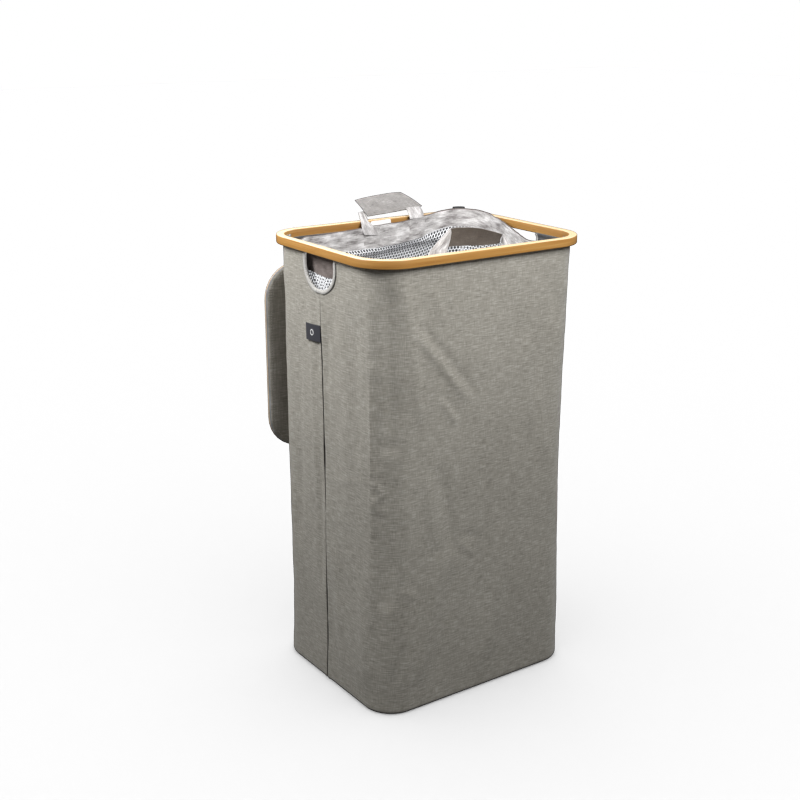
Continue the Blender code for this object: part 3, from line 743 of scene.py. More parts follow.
def holePath(inset, top):
    # the open-topped round of a hand hole, as points across and up
    half, deep, turn = holeForm["half"] - inset, holeForm["bottom"] + inset, holeForm["round"] - inset
    points = [(-half, top + (deep + turn - top) * i / 8) for i in range(8)]
    for i in range(25):
        angle = math.pi + math.pi * i / 24
        y = (half - turn) * (1 if i > 12 else -1) + turn * math.cos(angle) if i != 12 else 0.0
        points.append((y, deep + turn + turn * math.sin(angle) - holeForm["point"] * bump(i, 12, 3.2)))
    points += [(half, deep + turn + (top - deep - turn) * i / 8) for i in range(1, 9)]
    return points


def holeFloor(y):
    # height of the cut edge at a distance from the seam, or None outside it
    half, turn = holeForm["half"], holeForm["round"]
    if abs(y) >= half:
        return None
    drop = max(0.0, abs(y) - (half - turn))
    arc = math.sqrt(max(0.0, turn * turn - drop * drop))
    return holeForm["bottom"] + turn - arc - holeForm["point"] * bump(abs(y) / 0.0047, 0, 3.2)


def cutHandHoles(piece):
    # whole faces inside the hole go, then the loose edge is drawn on to the outline
    def inHole(p):
        floor = holeFloor(p.y)
        return abs(p.x) > rimHalf[0] - 0.035 and floor is not None and p.z > floor

    editPick(piece, "FACE", lambda mesh, face: all(inHole(mesh.vertices[i].co) for i in face.vertices))
    bpy.ops.mesh.delete(type="FACE")
    leaveEdit()
    outline = holePath(0.0, rimHigh.z + 0.01)
    fine = []
    for (y0, z0), (y1, z1) in zip(outline, outline[1:]):
        fine += [(y0 + (y1 - y0) * k / 6, z0 + (z1 - z0) * k / 6) for k in range(6)]
    for vertex in piece.data.vertices:
        if inHole(vertex.co):
            side = 1 if vertex.co.y >= 0 else -1
            y, z = min((p for p in fine if p[0] * side >= 0),
                       key=lambda p: math.hypot(p[0] - vertex.co.y, p[1] - vertex.co.z))
            vertex.co.y, vertex.co.z = (y if abs(y) > 0.0004 else 0.0004 * side), z


makeCoverPanel(-1)
makeCoverPanel(1)
print("cover made")

binding = {"width": 0.0044, "proud": 0.0007}


def makeBinding(side):
    # tape folded over the edge of the hand hole, from the outer face round to the inner one
    path = holePath(0.0, rimLow.z - 0.0006)
    lengths = runLengths(path)
    wide, proud = binding["width"], binding["proud"]
    profile = [(wide, proud * 0.1), (wide * 0.93, proud), (wide * 0.5, proud * 1.15), (0.0012, proud * 1.1),
               (-0.0004, 0.0002), (-0.0008, -0.0010),
               (-0.0004, -0.0021), (0.0012, -0.0028), (wide * 0.5, -0.0028), (wide, -0.0024)]
    across = runLengths(profile)

    def place(a, b):
        i, j = nearest(lengths, a), nearest(across, b)
        y, z = path[i]
        before, after = path[max(0, i - 1)], path[min(len(path) - 1, i + 1)]
        way = Vector((after[0] - before[0], after[1] - before[1])).normalized()
        away = Vector((way.y, -way.x))
        back, out = profile[j]
        y, z = y + away.x * back, z + away.y * back
        z = min(z, rimLow.z - 0.0005)
        halfX = coverOutline(min(z, rimLow.z - 0.0068))[0]
        x = halfX - ease(z, rimLow.z - 0.0068, rimLow.z - 0.0004) * (halfX - (rimHalf[0] - cover["hemInset"]))
        return Vector((side * (x + out + 0.0002), y * side * -1, z))

    piece = layCloth(lengths, across, place)
    thicken(piece, 0.0005, offset=-1)
    faceOutward(piece)
    soften(piece, 60)
    slideSeam(piece)
    word = "left" if side < 0 else "right"
    dress(piece, "hole_tape_" + word, tapeFabric, "hamper", ["hand_hole_binding_" + word])
    points, outs = [], []
    for y, z in holePath(-0.0088, rimLow.z - 0.010):
        halfX = coverOutline(min(z, rimLow.z - 0.0068))[0]
        points.append(Vector((side * (halfX + 0.0004), y, z)))
        outs.append(Vector((side, 0, 0)))
    slideSeam(sewLine("hole_stitches_" + word, points, outs, "hamper"))


makeBinding(-1)
makeBinding(1)
print("hand holes bound")

# base cloth under the board, with a soft round edge


base = {"inset": 0.0068, "middle": 0.0017, "thick": 0.0026, "facets": 14, "footStep": 0.012,
        "lifts": (0.00048, 0.0), "edge": 0.0011}


def makeBase():
    dropPicks()
    half, inset = cover["baseHalf"], base["inset"]
    form = half[0] - inset, half[1] - inset, cover["baseCorner"] - inset
    bpy.ops.mesh.primitive_cube_add(size=1, location=(0, 0, base["middle"]))
    piece = bpy.context.object
    piece.scale = 2 * form[0], 2 * form[1], base["thick"]
    settle(piece)
    roundEdges(piece, isUpright, form[2], base["facets"], clamp_overlap=False)
    editPick(piece, "FACE", lambda mesh, face: face.normal.z < -0.9)
    for lift in base["lifts"]:
        bpy.ops.mesh.inset(thickness=base["footStep"])
        bpy.ops.transform.translate(value=(0, 0, lift))
    leaveEdit()

    def isOuter(mesh, edge):
        a, b = (mesh.vertices[i].co for i in edge.vertices)
        return abs(a.z - b.z) < 1e-6 and insetAt(a, *form) < 1e-4

    roundEdges(piece, isOuter, base["edge"], 3)
    soften(piece, 50)
    dress(piece, "base_cloth", baseFabric, "hamper", ["cover_base_panel"])


makeBase()
print("base made")

# label in the left seam

label = {
    "long": 0.043, "high": 0.0265, "thick": 0.0008, "middle": rimHigh.z - 0.136, "tilt": 3.0,
    "ringSize": 0.0042, "ringThread": 0.00075, "ringPlace": (0.52, 0.5),
}


def makeLabel():
    def place(a, b):
        z = label["middle"] + b - label["high"] / 2 - a * math.tan(math.radians(label["tilt"]))
        halfX = coverOutline(z)[0]
        lift = 0.0010 + 0.0016 * math.sin(math.pi * min(1.0, a / label["long"])) + 0.0012 * (a / label["long"]) ** 2
        return Vector((-halfX - lift + 0.0004, 0.0002 + a, z))

    piece = layCloth(steps(0, label["long"], 0.0015), steps(0, label["high"], 0.0025), place)
    thicken(piece, label["thick"], offset=0)
    faceOutward(piece)
    addModifier(piece, "BEVEL", width=0.00025, segments=2, limit_method="ANGLE")
    soften(piece, 40)
    slideSeam(piece)
    dress(piece, "seam_label", labelCloth, "hamper", ["side_label"])
    # a plain ring woven in light thread
    dropPicks()
    bpy.ops.mesh.primitive_torus_add(major_radius=label["ringSize"], minor_radius=label["ringThread"],
                                     major_segments=28,
                                     minor_segments=8, location=(0, 0, 0), rotation=(0, math.pi / 2, 0))
    ring = bpy.context.object
    settle(ring)
    for vertex in ring.data.vertices:
        a = label["long"] * label["ringPlace"][0] + vertex.co.y
        b = label["high"] * label["ringPlace"][1] + vertex.co.z
        vertex.co = place(a, b) + Vector((-label["thick"] / 2 + vertex.co.x * 0.4, 0, 0))
    soften(ring, 60)
    slideSeam(ring)
    dress(ring, "label_ring", labelMark, "hamper")


makeLabel()
print("label made")

# lift-out bag: band, open net walls and floor

bag = {
    "half": (bandHigh.x, bandHigh.y), "corner": 0.075, "taper": 0.005, "floor": 0.0106, "bandTop": 0.7130,
    "bandFoot": 0.6755,
    "netPitch": 0.0056, "netThread": 0.0015, "cloth": 0.0010, "bandHigh": 0.0375, "netLong": 0.664,
    "threadShare": 0.301,
    "tapeCloth": 0.0007,
}
bagGirth = girth(*bag["half"], bag["corner"])


# how the band rises and falls round the bag: height, place and width of each wave
bandTopWaves = [
    (0.0166, 0.60, 0.075), (-0.0048, 0.85, 0.070), (-0.0150, 0.455, 0.045), (-0.0050, 0.0, 0.06),
    (-0.0050, 1.0, 0.06), (0.0042, 0.25, 0.09),
]
bandFootWaves = [(0.0235, 0.60, 0.075), (-0.0120, 0.455, 0.045), (-0.0040, 0.0, 0.06), (-0.0040, 1.0, 0.06)]


def aroundNoise(share, size, height):
    # noise that meets itself after one turn
    return noise.noise(Vector((math.cos(share * 6.283) * size, math.sin(share * 6.283) * size, height)))


def waves(share, rows):
    return sum(high * bump(share, middle, width) for high, middle, width in rows)


def bandTop(share):
    return bag["bandTop"] + waves(share, bandTopWaves) + 0.0012 * aroundNoise(share, 6, 0.3)


def bandFoot(share):
    return bag["bandFoot"] + waves(share, bandFootWaves) + 0.0010 * aroundNoise(share, 5, 3.3)


def bagPoint(share, z, out=0.0):
    level = max(0.0, (z - bag["floor"]) / (bandHigh.z - bag["floor"]))
    pull = bag["taper"] * (1 - min(1.0, level)) - out
    pull += 0.0085 * bump(share, 0.47, 0.060) * ease(z, 0.60, 0.70)
    place, way = onOutline(share, bag["half"][0] - pull, bag["half"][1] - pull, bag["corner"] - pull)
    turn = Vector((math.cos(share * 6.2832), math.sin(share * 6.2832), 0))
    wave = 0.0024 * noise.noise(turn * 5.5 + Vector((0, 0, z * 22)))
    wave = min(0.0018, wave + 0.0019 * noise.noise(turn * 15 + Vector((0, 0, z * 34))))
    return Vector((place.x + way.x * wave, place.y + way.y * wave, z)), Vector((way.x, way.y, 0))


def bandPlace(share, drop, out=0.0):
    # drop is 0 at the band's top edge and 1 at its foot
    top, foot = bandTop(share), bandFoot(share)
    return bagPoint(share, top + (foot - top) * drop, out)


def makeBand():
    high = bag["bandHigh"]
    across = steps(0, bagGirth, 0.0042)
    profile = [(1 - 0.055 * i, 0.0) for i in range(18)] + [(0.03, 0.0002), (0.0, -0.0004), (0.0, -0.0012)]
    up = [i * high / (len(profile) - 1) for i in range(len(profile))]

    def place(a, b):
        drop, out = profile[round(b / high * (len(profile) - 1))]
        pinch = -0.0005 * bump(drop, 0.17, 0.025) - 0.0005 * bump(drop, 0.90, 0.03)
        return bandPlace(min(a / bagGirth, 1.0), drop, out + pinch)[0]

    piece = layCloth(across, up, place)
    weld(piece)
    # the first material, on the band's outer face, is the painted shade colour; the inner face keeps the band
    # fabric
    piece.data.materials.append(bandOuterPaintedShade)
    piece.data.materials.append(bandFabric)
    thicken(piece, bag["cloth"], inside=True)
    soften(piece, 60)
    dress(piece, "bag_band", [bandOuterPaintedShade, bandFabric], "liner", ["liner_band"])
    flatten(piece)
    for word, drop in (("top", 0.17), ("foot", 0.90)):
        points, outs = [], []
        for i in range(331):
            spot, way = bandPlace(i / 330, drop, -bag["cloth"] - 0.0001)
            points.append(spot)
            outs.append(-way)
        row = sewLine("band_stitches_" + word, points, outs, "liner")
        flatten(row)


def flatten(piece, foot=0.640):
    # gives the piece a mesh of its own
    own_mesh(piece)


def netSheet(columns, rows, chosen, place):
    # six-sided cells in staggered rows; each is inset and its middle taken out
    points, faces, known = [], [], {}
    halves = 2 * columns

    def corner(j, k):
        key = j, k % halves
        if key not in known:
            lift = 1 / 6 if k % 2 == j % 2 else -1 / 6
            known[key] = len(points)
            points.append(tuple(place(key[1] / halves, min(1.0, max(0.0, (j + lift) / rows)))))
        return known[key]

    for j in range(rows):
        for c in range(columns):
            k = j % 2 + 2 * c
            if chosen(k / halves, j):
                below, above = [corner(j, k + i) for i in range(3)], [corner(j + 1, k + i) for i in (2, 1, 0)]
                faces.append((*below, *above))
    dropPicks()
    bpy.ops.mesh.primitive_plane_add(size=0.1, location=(0, 0, 0))
    piece = bpy.context.object
    piece.data.clear_geometry()
    piece.data.from_pydata(points, [], faces)
    pickWhole(piece)
    bpy.ops.mesh.inset(thickness=bag["netThread"] / 2, use_individual=True)
    bpy.ops.mesh.delete(type="FACE")
    leaveEdit()
    return piece


def ledge(share, z):
    # the loose net folds in under the band along the back
    line = 0.671 + 0.011 * ease(share, 0.80, 0.66)
    along = ease(share, 0.56, 0.64) * (1 - ease(share, 0.86, 0.93))
    return 0.0120 * bump(z, line, 0.0085) * along


rowShare = 0.866  # a staggered row of six-sided cells is this much of a cell high


def makeNet():
    columns, rows = round(bagGirth / bag["netPitch"]), round(bag["netLong"] / (bag["netPitch"] * rowShare))

    def place(share, level):
        top = bandFoot(share) + 0.002
        z = bag["floor"] + (top - bag["floor"]) * level
        slack = 0.0035 * aroundNoise(share, 3, z * 9)
        slack = min(0.0012, slack) * ease(z, 0.02, 0.12) * (1 - ease(z, 0.60, 0.68))
        return bagPoint(share, z, slack - ledge(share, z) - 0.0008)[0]

    for word, low, high in (("front", 0.0, 0.5), ("back", 0.5, 1.0)):
        piece = netSheet(columns, rows, lambda at, j: low <= at < high, place)
        soften(piece, 60)
        dress(piece, "bag_net_" + word, netThread, "liner", ["liner_mesh"])
        flatten(piece, bag["floor"])
    half = bag["half"][0] - bag["taper"], bag["half"][1] - bag["taper"]
    radius = bag["corner"] - bag["taper"]
    pitch = bag["netPitch"]
    columns, rows = round(2 * half[0] / pitch), round(2 * half[1] / (pitch * rowShare))

    def lay(share, level):
        x, y = half[0] * (2 * share - 1), half[1] * (2 * level - 1)
        return Vector((x, y, bag["floor"] - 0.0006 + 0.0004 * noise.noise(Vector((x * 20, y * 20, 0)))))

    def inside(share, j):
        centre = Vector((half[0] * (2 * (share + 0.5 / columns) - 1), half[1] * (2 * (j + 0.5) / rows - 1), 0))
        return share + 1.0 / columns < 1.0 and insetAt(centre, *half, radius) > 0.002

    piece = netSheet(columns, rows, inside, lay)
    soften(piece, 60)
    dress(piece, "bag_floor", netThread, "liner", ["liner_floor"])
    # tape over the seam between walls and floor
    profile = [(0.0, 0.007), (0.0010, 0.0035), (0.0008, 0.0005), (-0.0005, -0.0012), (-0.0040, -0.0015),
               (-0.0080, -0.0013)]
    across = steps(0, girth(*half, radius), 0.006)
    up = [0.0, 0.0036, 0.0066, 0.0088, 0.0123, 0.0163]

    def wrap(a, b):
        out, rise = profile[nearest(up, b)]
        spot = onOutline(a / across[-1], half[0] + out, half[1] + out, radius + out)[0]
        return Vector((spot.x, spot.y, bag["floor"] + rise))

    tape = layCloth(across, up, wrap)
    weld(tape)
    pickWhole(tape)
    bpy.ops.mesh.flip_normals()
    leaveEdit()
    thicken(tape, bag["tapeCloth"])
    soften(tape, 60)
    dress(tape, "bag_foot_tape", bandFabric, "liner")


makeBand()
makeNet()
print("bag made")

# straps: each is a run of cloth between two edges, given at a few stations


def between(stations, t):
    # smooth run through the stations
    count = len(stations) - 1
    place = min(count - 1e-6, max(0.0, t * count))
    i = int(place)
    f = place - i
    p = [Vector(stations[min(count, max(0, i + k))]) for k in (-1, 0, 1, 2)]
    return 0.5 * ((2 * p[1]) + (p[2] - p[0]) * f + (2 * p[0] - 5 * p[1] + 4 * p[2] - p[3]) * f * f
                  + (3 * p[1] - p[0] - 3 * p[2] + p[3]) * f ** 3)


def strapRun(firstEdge, secondEdge, long, wide, crown=0.0008):
    def place(a, b):
        t, s = a / long, b / wide
        one, two = between(firstEdge, t), between(secondEdge, t)
        ahead = between(firstEdge, min(1, t + 0.02)) - between(firstEdge, max(0, t - 0.02))
        out = ahead.cross(two - one)
        out = out.normalized() if out.length > 1e-9 else Vector((0, 0, 1))
        ripple = 0.0007 * noise.noise(Vector((a * 70, b * 60, long * 40)))
        return one.lerp(two, s) + out * (crown * math.sin(math.pi * s) + ripple)

    return layCloth(steps(0, long, 0.003), steps(0, wide, 0.003), place)


strap = {"wide": 0.031, "cloth": 0.0013, "foldRoom": 0.0008, "pressed": 0.15}
backHandle = {
    "lean": 56,
    "legs": [
        {"long": 0.046, "one": [(-0.0263, 0.1362, 0.7000), (-0.0289, 0.1372, 0.7097), (-0.0285, 0.1405, 0.7160),
                                (-0.0245, 0.1500, 0.7225), (-0.0200, 0.1625, 0.7322)],
         "two": [(0.0012, 0.1362, 0.6967), (-0.0041, 0.1374, 0.7087), (-0.0075, 0.1415, 0.7140),
                 (-0.0078, 0.1540, 0.7205), (-0.0050, 0.1695, 0.7315)]},
        {"long": 0.028, "one": [(0.0668, 0.1385, 0.7170), (0.0675, 0.1410, 0.7215), (0.0705, 0.1500, 0.7275),
                                (0.0745, 0.1640, 0.7325)],
         "two": [(0.0949, 0.1385, 0.7170), (0.0960, 0.1415, 0.7220), (0.1000, 0.1520, 0.7275),
                 (0.1050, 0.1660, 0.7320)]},
    ],
    "grip": {"long": 0.108, "one": [(-0.0042, 0.1600, 0.7253), (0.0250, 0.1596, 0.7268), (0.0530, 0.1596, 0.7284),
                                    (0.0800, 0.1602, 0.7302), (0.1100, 0.1655, 0.7318)],
             "two": [(-0.0155, 0.1800, 0.7502), (0.0080, 0.1812, 0.7530), (0.0320, 0.1818, 0.7548),
                     (0.0550, 0.1820, 0.7558), (0.0770, 0.1820, 0.7557)]},
}
frontHandle = {
    "lean": 43,
    "legs": [
        {"long": 0.056, "one": [(-0.0960, -0.1368, 0.7080), (-0.0930, -0.1350, 0.7200), (-0.0690, -0.1260, 0.7340),
                                (-0.0400, -0.1150, 0.7475)],
         "two": [(-0.0630, -0.1368, 0.7050), (-0.0600, -0.1330, 0.7170), (-0.0470, -0.1180, 0.7200),
                 (-0.0385, -0.1130, 0.7350)]},
        {"long": 0.040, "one": [(0.0180, -0.1368, 0.6980), (0.0280, -0.1340, 0.7040), (0.0420, -0.1260, 0.7110),
                                (0.0565, -0.1150, 0.7165)],
         "two": [(0.0500, -0.1368, 0.6980), (0.0560, -0.1350, 0.7060), (0.0600, -0.1280, 0.7180),
                 (0.0590, -0.1160, 0.7300)]},
    ],
    "grip": {"long": 0.100, "one": [(-0.0395, -0.1150, 0.7475), (-0.0250, -0.1152, 0.7472),
                                    (-0.0020, -0.1155, 0.7452), (0.0260, -0.1155, 0.7394),
                                    (0.0575, -0.1155, 0.7290)],
             "two": [(-0.0424, -0.1090, 0.7190), (-0.0260, -0.1070, 0.7185), (-0.0020, -0.1055, 0.7165),
                     (0.0260, -0.1060, 0.7140), (0.0570, -0.1090, 0.7140)]},
}


def makeStrap(word, form, pivot):
    wide, cloths = strap["wide"], [strapFabric, strapPaintedShade, bandFabric]
    runs = [strapRun(leg["two"], leg["one"], leg["long"], wide) for leg in form["legs"]]
    grip = form["grip"]
    runs.append(strapRun(grip["one"], grip["two"], grip["long"], wide, 0.0014))
    for number, run in enumerate(runs):
        for material in cloths:
            run.data.materials.append(material)
        # the grips carry the painted shade colour on their inner face; the legs show band fabric on both faces
        for face in run.data.polygons:
            face.material_index = 2 if number < len(form["legs"]) else 0
    piece = joinPieces(runs)
    # below the fold the strap is part of the bag and stays with it
    editPick(piece, "FACE", lambda mesh, face: face.center.z < pivot[2] - strap["foldRoom"])
    bpy.ops.mesh.separate(type="SELECTED")
    leaveEdit()
    foot = next(thing for thing in bpy.context.selected_objects if thing != piece)
    footLong = sum(face.area for face in foot.data.polygons) / wide
    for part in (foot, piece):
        thicken(part, strap["cloth"], inside=True, offset=0)
        soften(part, 60)
    dress(foot, "strap_foot_" + word, cloths, "liner")
    flatten(foot)
    dress(piece, "strap_" + word, cloths, "handle_" + word, ["handle_%s_strap" % word])
    long = sum(leg["long"] for leg in form["legs"]) + grip["long"] - footLong
    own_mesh(piece)


strapEnd = {"high": 0.029, "cloth": 0.0006, "margin": 0.003, "back": (-0.010, 0.082), "front": (-0.068, 0.024)}


def makeStrapEnd(word, side, middleX):
    # the sewn-down end lies on the inside of the band, with a box and a cross of stitches
    wide, high = strap["wide"], strapEnd["high"]
    centre = 0.75 - middleX / bagGirth if word == "back" else 0.25 + middleX / bagGirth

    def place(a, b, lift=0.0):
        share = centre + (a - wide / 2) / bagGirth
        top, foot = bandTop(share), bandFoot(share)
        z = top - 0.001 - (high - b) * min(1.0, (top - foot) / high * 0.93)
        return bagPoint(share, z, -bag["cloth"] - strapEnd["cloth"] - lift)[0]

    piece = layCloth(steps(0, wide, 0.003), steps(0, high, 0.003), place)
    thicken(piece, strapEnd["cloth"], offset=1)
    faceOutward(piece)
    soften(piece, 50)
    name = "%s_%s" % (word, side)
    dress(piece, "strap_end_" + name, bandFabric, "liner", ["handle_%s_end_%s" % (word, side)])
    flatten(piece)
    low, foot, right, top = strapEnd["margin"], strapEnd["margin"], wide - strapEnd["margin"], high - 0.004
    box = [(low, foot), (right, foot), (right, top), (low, top), (low, foot)]
    corners = box + [(right, top), (right, foot), (low, top)]
    points, outs = [], []
    for (a0, b0), (a1, b1) in zip(corners, corners[1:]):
        for i in range(8):
            a, b = a0 + (a1 - a0) * i / 8, b0 + (b1 - b0) * i / 8
            points.append(place(a, b, 0.0003))
            outs.append(-bagPoint(centre, 0.70)[1])
    row = sewLine("strap_stitches_" + name, points, outs, "liner")
    flatten(row)


for word, form in (("back", backHandle), ("front", frontHandle)):
    makeStrap(word, form, joints["handle_%s_swing" % word]["pos_m"])
for word in ("back", "front"):
    for side, x in zip(("left", "right"), strapEnd[word]):
        makeStrapEnd(word, side, x)
print("straps made")

tag = {"wide": 0.039, "high": 0.017, "top": 0.7195, "shift": 0.0105, "round": 0.003, "cloth": 0.0004}
tab = {"wide": 0.020, "high": 0.014, "share": 0.612, "cloth": 0.0012, "edge": 0.0003}


def makeTags():
    wide, high = tag["wide"], tag["high"]
    centre = 0.75 - tag["shift"] / bagGirth

    def place(a, b):
        share = centre - (a - wide / 2) / bagGirth
        z = tag["top"] - (high - b) + 0.001 * math.sin(a * 60)
        return bagPoint(share, z, 0.0010 + 0.0014 * (b / high) ** 2)[0]

    piece = layCloth(steps(0, wide, 0.002), steps(0, high, 0.002), place)

    def isTopCorner(mesh, vertex):
        return vertex.co.z > 0.715 and sum(vertex.index in edge.vertices for edge in mesh.edges) == 2

    editPick(piece, "VERT", isTopCorner)
    bpy.ops.mesh.bevel(offset=tag["round"], segments=4, affect="VERTICES")
    leaveEdit()
    thicken(piece, tag["cloth"])
    soften(piece, 50)
    dress(piece, "care_tag", tagCloth, "liner", ["liner_tag"])
    flatten(piece)

    def perch(a, b):
        share = tab["share"] + (a - tab["wide"] / 2) / bagGirth
        return bagPoint(share, bandTop(share) + 0.0026 - tab["high"] + b, 0.0016)[0]

    piece = layCloth(steps(0, tab["wide"], 0.002), steps(0, tab["high"], 0.002), perch)
    thicken(piece, tab["cloth"])
    addModifier(piece, "BEVEL", width=tab["edge"], segments=2, limit_method="ANGLE")
    soften(piece, 50)
    dress(piece, "hook_tab", tabCloth, "liner", ["liner_tab"])
    flatten(piece)


makeTags()
print("tags made")

# padded lid, hanging behind

lidLow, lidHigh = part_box("lid_top_fabric")
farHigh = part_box("lid_underside")[1]
lidHalf = lidHigh.x, (lidHigh.z - lidLow.z) / 2
lid = {
    "corner": 0.058, "voxel": 0.0045, "shrink": 0.0010, "pressure": 4.0, "capFront": 0.0009, "capBack": 0.0003,
    "seam": 0.0085,
    "edge": 0.0028, "stiffness": 30, "frames": 20,
}


def makeLid():
    dropPicks()
    near, far = lidLow.y + lid["shrink"], farHigh.y - 0.0004
    centreZ, centreY = (lidLow.z + lidHigh.z) / 2, (near + far) / 2
    bpy.ops.mesh.primitive_cube_add(size=1, location=(0, centreY, centreZ))
    piece = bpy.context.object
    piece.scale = 2 * (lidHalf[0] - lid["shrink"]), far - near, 2 * (lidHalf[1] - lid["shrink"])
    settle(piece)

    def alongY(mesh, edge):
        a, b = (mesh.vertices[i].co for i in edge.vertices)
        return abs(a.y - b.y) > 0.9 * (a - b).length

    roundEdges(piece, alongY, lid["corner"] - lid["shrink"], 14, clamp_overlap=False)
    roundEdges(piece, lambda mesh, edge: not alongY(mesh, edge), lid["edge"], 3, clamp_overlap=False)
    addModifier(piece, "REMESH", mode="VOXEL", voxel_size=lid["voxel"], use_smooth_shade=True)
    start = [v.co.copy() for v in piece.data.vertices]
    cloth = piece.modifiers.new("cloth", "CLOTH")
    cloth.settings.use_pressure = True
    cloth.settings.uniform_pressure_force = lid["pressure"]
    cloth.settings.effector_weights.gravity = 0
    cloth.settings.quality = 6
    cloth.settings.tension_stiffness = cloth.settings.compression_stiffness = lid["stiffness"]
    for number in range(1, lid["frames"] + 1):
        bpy.context.scene.frame_set(number)
    pick(piece)
    bpy.ops.object.modifier_apply(modifier=cloth.name)
    bpy.context.scene.frame_set(1)
    for vertex, before in zip(piece.data.vertices, start):
        move = vertex.co - before
        cap = lid["capFront"] if before.y < centreY else lid["capBack"]
        if move.length > cap:
            move *= cap / move.length
        spot = before + move
        edge = insetAt(Vector((before.x, before.z - centreZ, 0)), *lidHalf, lid["corner"])
        face = 1 if before.y > centreY else -1
        spot.y -= face * 0.0007 * bump(edge, lid["seam"], 0.0035)
        soft = 0.0006 * noise.noise(Vector((before.x * 14, before.z * 14, 4.0 + face)))
        spot.y += min(0, soft) * face if face > 0 else max(0, soft)
        vertex.co = spot
    addModifier(piece, "SUBSURF", levels=1, render_levels=1)
    pick(piece)
    bpy.ops.object.shade_smooth()
    piece.data.materials.append(lidFabric)
    piece.data.materials.append(lidEdge)
    for face in piece.data.polygons:
        face.material_index = 1 if abs(face.normal.y) < 0.75 else 0
    dress(piece, "lid_cover", [lidFabric, lidEdge], "lid",
          ["lid_top_fabric", "lid_edge_band", "lid_underside", "lid_padding"])
    for word, y, way in (("near", near - 0.0001, -1), ("far", far + 0.0001, 1)):
        points, outs = [], []
        for i in range(241):
            spot = onOutline(i / 240, *(half - lid["seam"] for half in (*lidHalf, lid["corner"])))[0]
            points.append(Vector((spot.x, y, centreZ + spot.y)))
            outs.append(Vector((0, way, 0)))
        sewLine("lid_stitches_" + word, points, outs, "lid")


makeLid()
print("lid made")

# cloth hinge: a sewn strip, a web over the upper fold and a web over the lower fold

upperFold = Vector(joints["flap_fold"]["pos_m"])
lowerFold = Vector(joints["lid_fold"]["pos_m"])
hinge = {"half": 0.150, "cloth": 0.0012, "sewnHigh": 0.019, "stitchMargin": 0.004}


def wallAt(z):
    return coverOutline(z)[1]


def hingeSheet(name, line, stands):
    lengths = runLengths(line)

    def place(a, b):
        y, z = line[nearest(lengths, b)]
        return Vector((hinge["half"] - a, y + 0.0003 * noise.noise(Vector((a * 25, z * 40, 5.0))), z))

    piece = layCloth(steps(0, 2 * hinge["half"], 0.005), lengths, place)
    thicken(piece, hinge["cloth"], offset=0)
    soften(piece, 70)
    piece.name = piece.data.name = name
    piece.data.materials.append(linen)
    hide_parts(stands)
    return piece


def makeHinge():
    low, top = upperFold.z - hinge["sewnHigh"], upperFold.z
    reach = hinge["half"] - hinge["stitchMargin"]
    sewn = [(wallAt(z) + 0.0010, z) for z in steps(low, top - 0.003, 0.004)]
    sewn += [(wallAt(top) + 0.0016, top - 0.0008), (wallAt(top) + 0.0040, top)]
    out = [(y, top + 0.0002) for y in steps(wallAt(top) + 0.0060, upperFold.y - 0.0012, 0.0014)]
    bend = [(upperFold.y - 0.0003, top - 0.0004), (upperFold.y, top - 0.0014)]
    down = [(upperFold.y, z) for z in steps(top - 0.0026, top - 0.0120, 0.0024)]
    upper = hingeSheet("hinge_web_upper", sewn + out + bend + down, "hinge_anchor")
    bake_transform(upper)
    middle = [(upperFold.y, z) for z in steps(top - 0.0120, lowerFold.z + 0.0028, 0.0020)]
    tail = [(upperFold.y + 0.0003, lowerFold.z + 0.0014), (lowerFold.y, lowerFold.z),
            (lowerFold.y + 0.0002, lowerFold.z - 0.0014)]
    tail += [(lowerFold.y + 0.0003, z) for z in steps(lowerFold.z - 0.0028, lowerFold.z - 0.0140, 0.0028)]
    lower = hingeSheet("hinge_web_lower", middle + tail, "hinge_flap")
    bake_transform(lower)
    rows = (("cover", low + 0.003, wallAt(low) + 0.0017, "hamper"),
            ("lid", lowerFold.z - 0.0112, lowerFold.y + 0.0011, "lid"))
    for word, z, y, body in rows:
        points = [Vector((x, y, z)) for x in steps(-reach, reach, 0.01)]
        sewLine("hinge_stitches_" + word, points, [Vector((0, 1, 0))] * len(points), body)


makeHinge()

# fabric sleeves round the four rods, each sewn to the corner of the cover by a flat margin

sleeve = {"facets": 20, "wall": 0.0008, "rings": 60, "margin": 0.0026, "ripple": 0.0005}


def makeSleeves():
    for corner in ("front_left", "front_right", "back_right", "back_left"):
        low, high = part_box("rod_sleeve_" + corner)
        middle, radius = (low + high) / 2, (high.x - low.x) / 2
        dropPicks()
        bpy.ops.mesh.primitive_cylinder_add(vertices=sleeve["facets"], radius=radius, depth=high.z - low.z,
                                            end_fill_type="NOTHING", location=middle)
        piece = bpy.context.object
        settle(piece)
        editPick(piece, "EDGE", isUpright)
        bpy.ops.mesh.subdivide(number_cuts=sleeve["rings"])
        leaveEdit()
        outward = Vector((math.copysign(1, middle.x), math.copysign(1, middle.y))).normalized()
        for vertex in piece.data.vertices:
            side = Vector((vertex.co.x - middle.x, vertex.co.y - middle.y))
            facing = side.normalized().dot(outward)
            ripple = sleeve["ripple"] * noise.noise(Vector((side.x * 260, side.y * 260, vertex.co.z * 42)))
            grow = 1 + (ripple - 0.0001) / radius
            vertex.co.x, vertex.co.y = middle.x + side.x * grow, middle.y + side.y * grow
            if facing > 0.985:
                vertex.co.x += outward.x * sleeve["margin"]
                vertex.co.y += outward.y * sleeve["margin"]
        thicken(piece, sleeve["wall"])
        soften(piece, 50)
        dress(piece, "rod_cloth_" + corner, sleeveFabric, "hamper", ["rod_sleeve_" + corner])


makeSleeves()
print("hinge and sleeves made")

# floor, light and camera

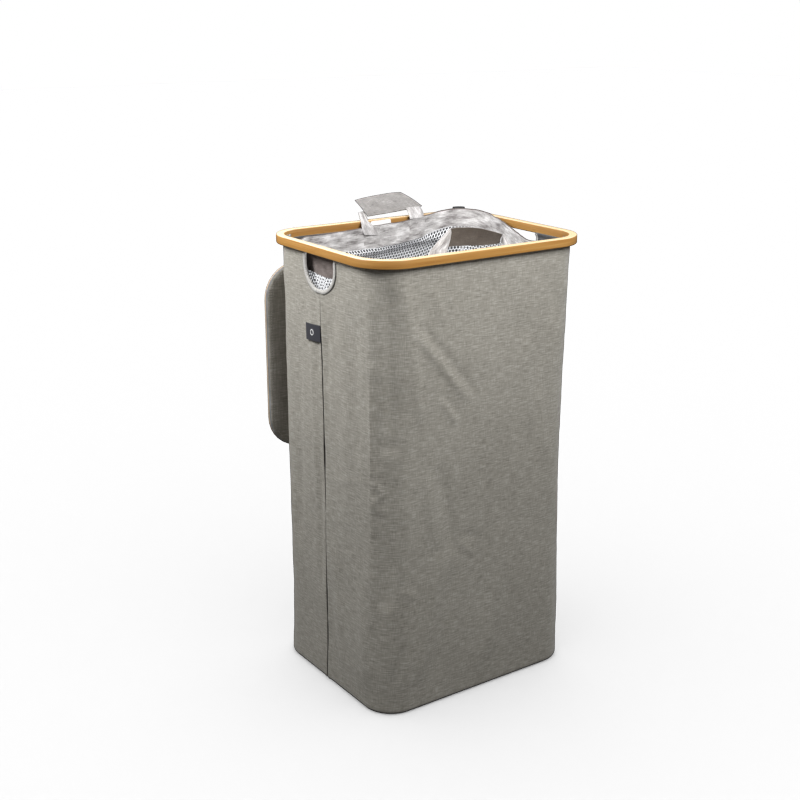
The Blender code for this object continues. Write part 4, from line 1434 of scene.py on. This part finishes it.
view = {"place": (-1.1439, -1.5771, 1.0585), "turn": (72.605, 0, -34.746), "lens": 56.79, "nearest": 0.05}
stage = {
    "floorSize": 30.0, "floorTone": 0.30, "worldStrength": 0.30,
    "lamps": {
        "leftSoftbox": {"place": (-0.82, 0.23, 1.25), "aim": 0.33, "size": 0.40, "power": 14.7},
        "frontSoftbox": {"place": (0.07, -0.80, 1.30), "aim": 0.72, "size": 0.50, "power": 9.2},
        "farSoftbox": {"place": (-0.03, -1.03, 1.40), "aim": -0.11, "size": 0.50, "power": 6.0},
        "backSoftbox": {"place": (0.35, 1.35, 1.80), "aim": 0.30, "size": 0.90, "power": 16.0},
        "rightSoftbox": {"place": (1.35, 0.10, 1.60), "aim": 0.30, "size": 0.70, "power": 12.0},
    },
}


def makeStage():
    dropPicks()
    bpy.ops.mesh.primitive_plane_add(size=stage["floorSize"], location=(0, 0, 0))
    floor = bpy.context.object
    floor.name = "floor"
    pale, _, shader = newMaterial("paleFloor", 0.9)
    shader.inputs["Base Color"].default_value = (*(stage["floorTone"],) * 3, 1)
    floor.data.materials.append(pale)
    floor.is_shadow_catcher = True
    world = bpy.data.worlds.new("softStudio")
    bpy.context.scene.world = world
    world.use_nodes = True
    nodes, links = world.node_tree.nodes, world.node_tree.links
    back, seen = nodes["Background"], nodes.new("ShaderNodeBackground")
    for light, strength in ((back, stage["worldStrength"]), (seen, 1.0)):
        light.inputs["Color"].default_value = (1, 1, 1, 1)
        light.inputs["Strength"].default_value = strength
    mix = nodes.new("ShaderNodeMixShader")
    sources = (nodes.new("ShaderNodeLightPath").outputs["Is Camera Ray"], back.outputs[0], seen.outputs[0])
    for number, source in enumerate(sources):
        links.new(source, mix.inputs[number])
    links.new(mix.outputs[0], nodes["World Output"].inputs[0])
    floorOnly = bpy.data.collections.new("floorOnly")
    floorOnly.objects.link(floor)
    floorOnly.collection_objects[0].light_linking.link_state = "EXCLUDE"
    for name, look in stage["lamps"].items():
        bpy.ops.object.light_add(type="AREA", location=look["place"])
        lamp = bpy.context.object
        lamp.name = name
        lamp.data.shape = "SQUARE"
        lamp.data.size = look["size"]
        lamp.data.energy = look["power"]
        lamp.light_linking.receiver_collection = floorOnly  # the pale floor keeps only its soft contact shadow
        aim = Vector((0, 0, look["aim"])) - Vector(look["place"])
        lamp.rotation_euler = aim.to_track_quat("-Z", "Y").to_euler()


def makeCamera():
    bpy.ops.object.camera_add(location=view["place"], rotation=[math.radians(angle) for angle in view["turn"]])
    camera = bpy.context.object
    camera.name = "frontLeftView"
    camera.data.sensor_width = 36.0
    camera.data.lens = view["lens"]
    camera.data.clip_start = view["nearest"]
    bpy.context.scene.camera = camera


makeStage()
makeCamera()
bpy.context.scene.view_settings.view_transform = "Standard"
dropPicks()
print("stage made")
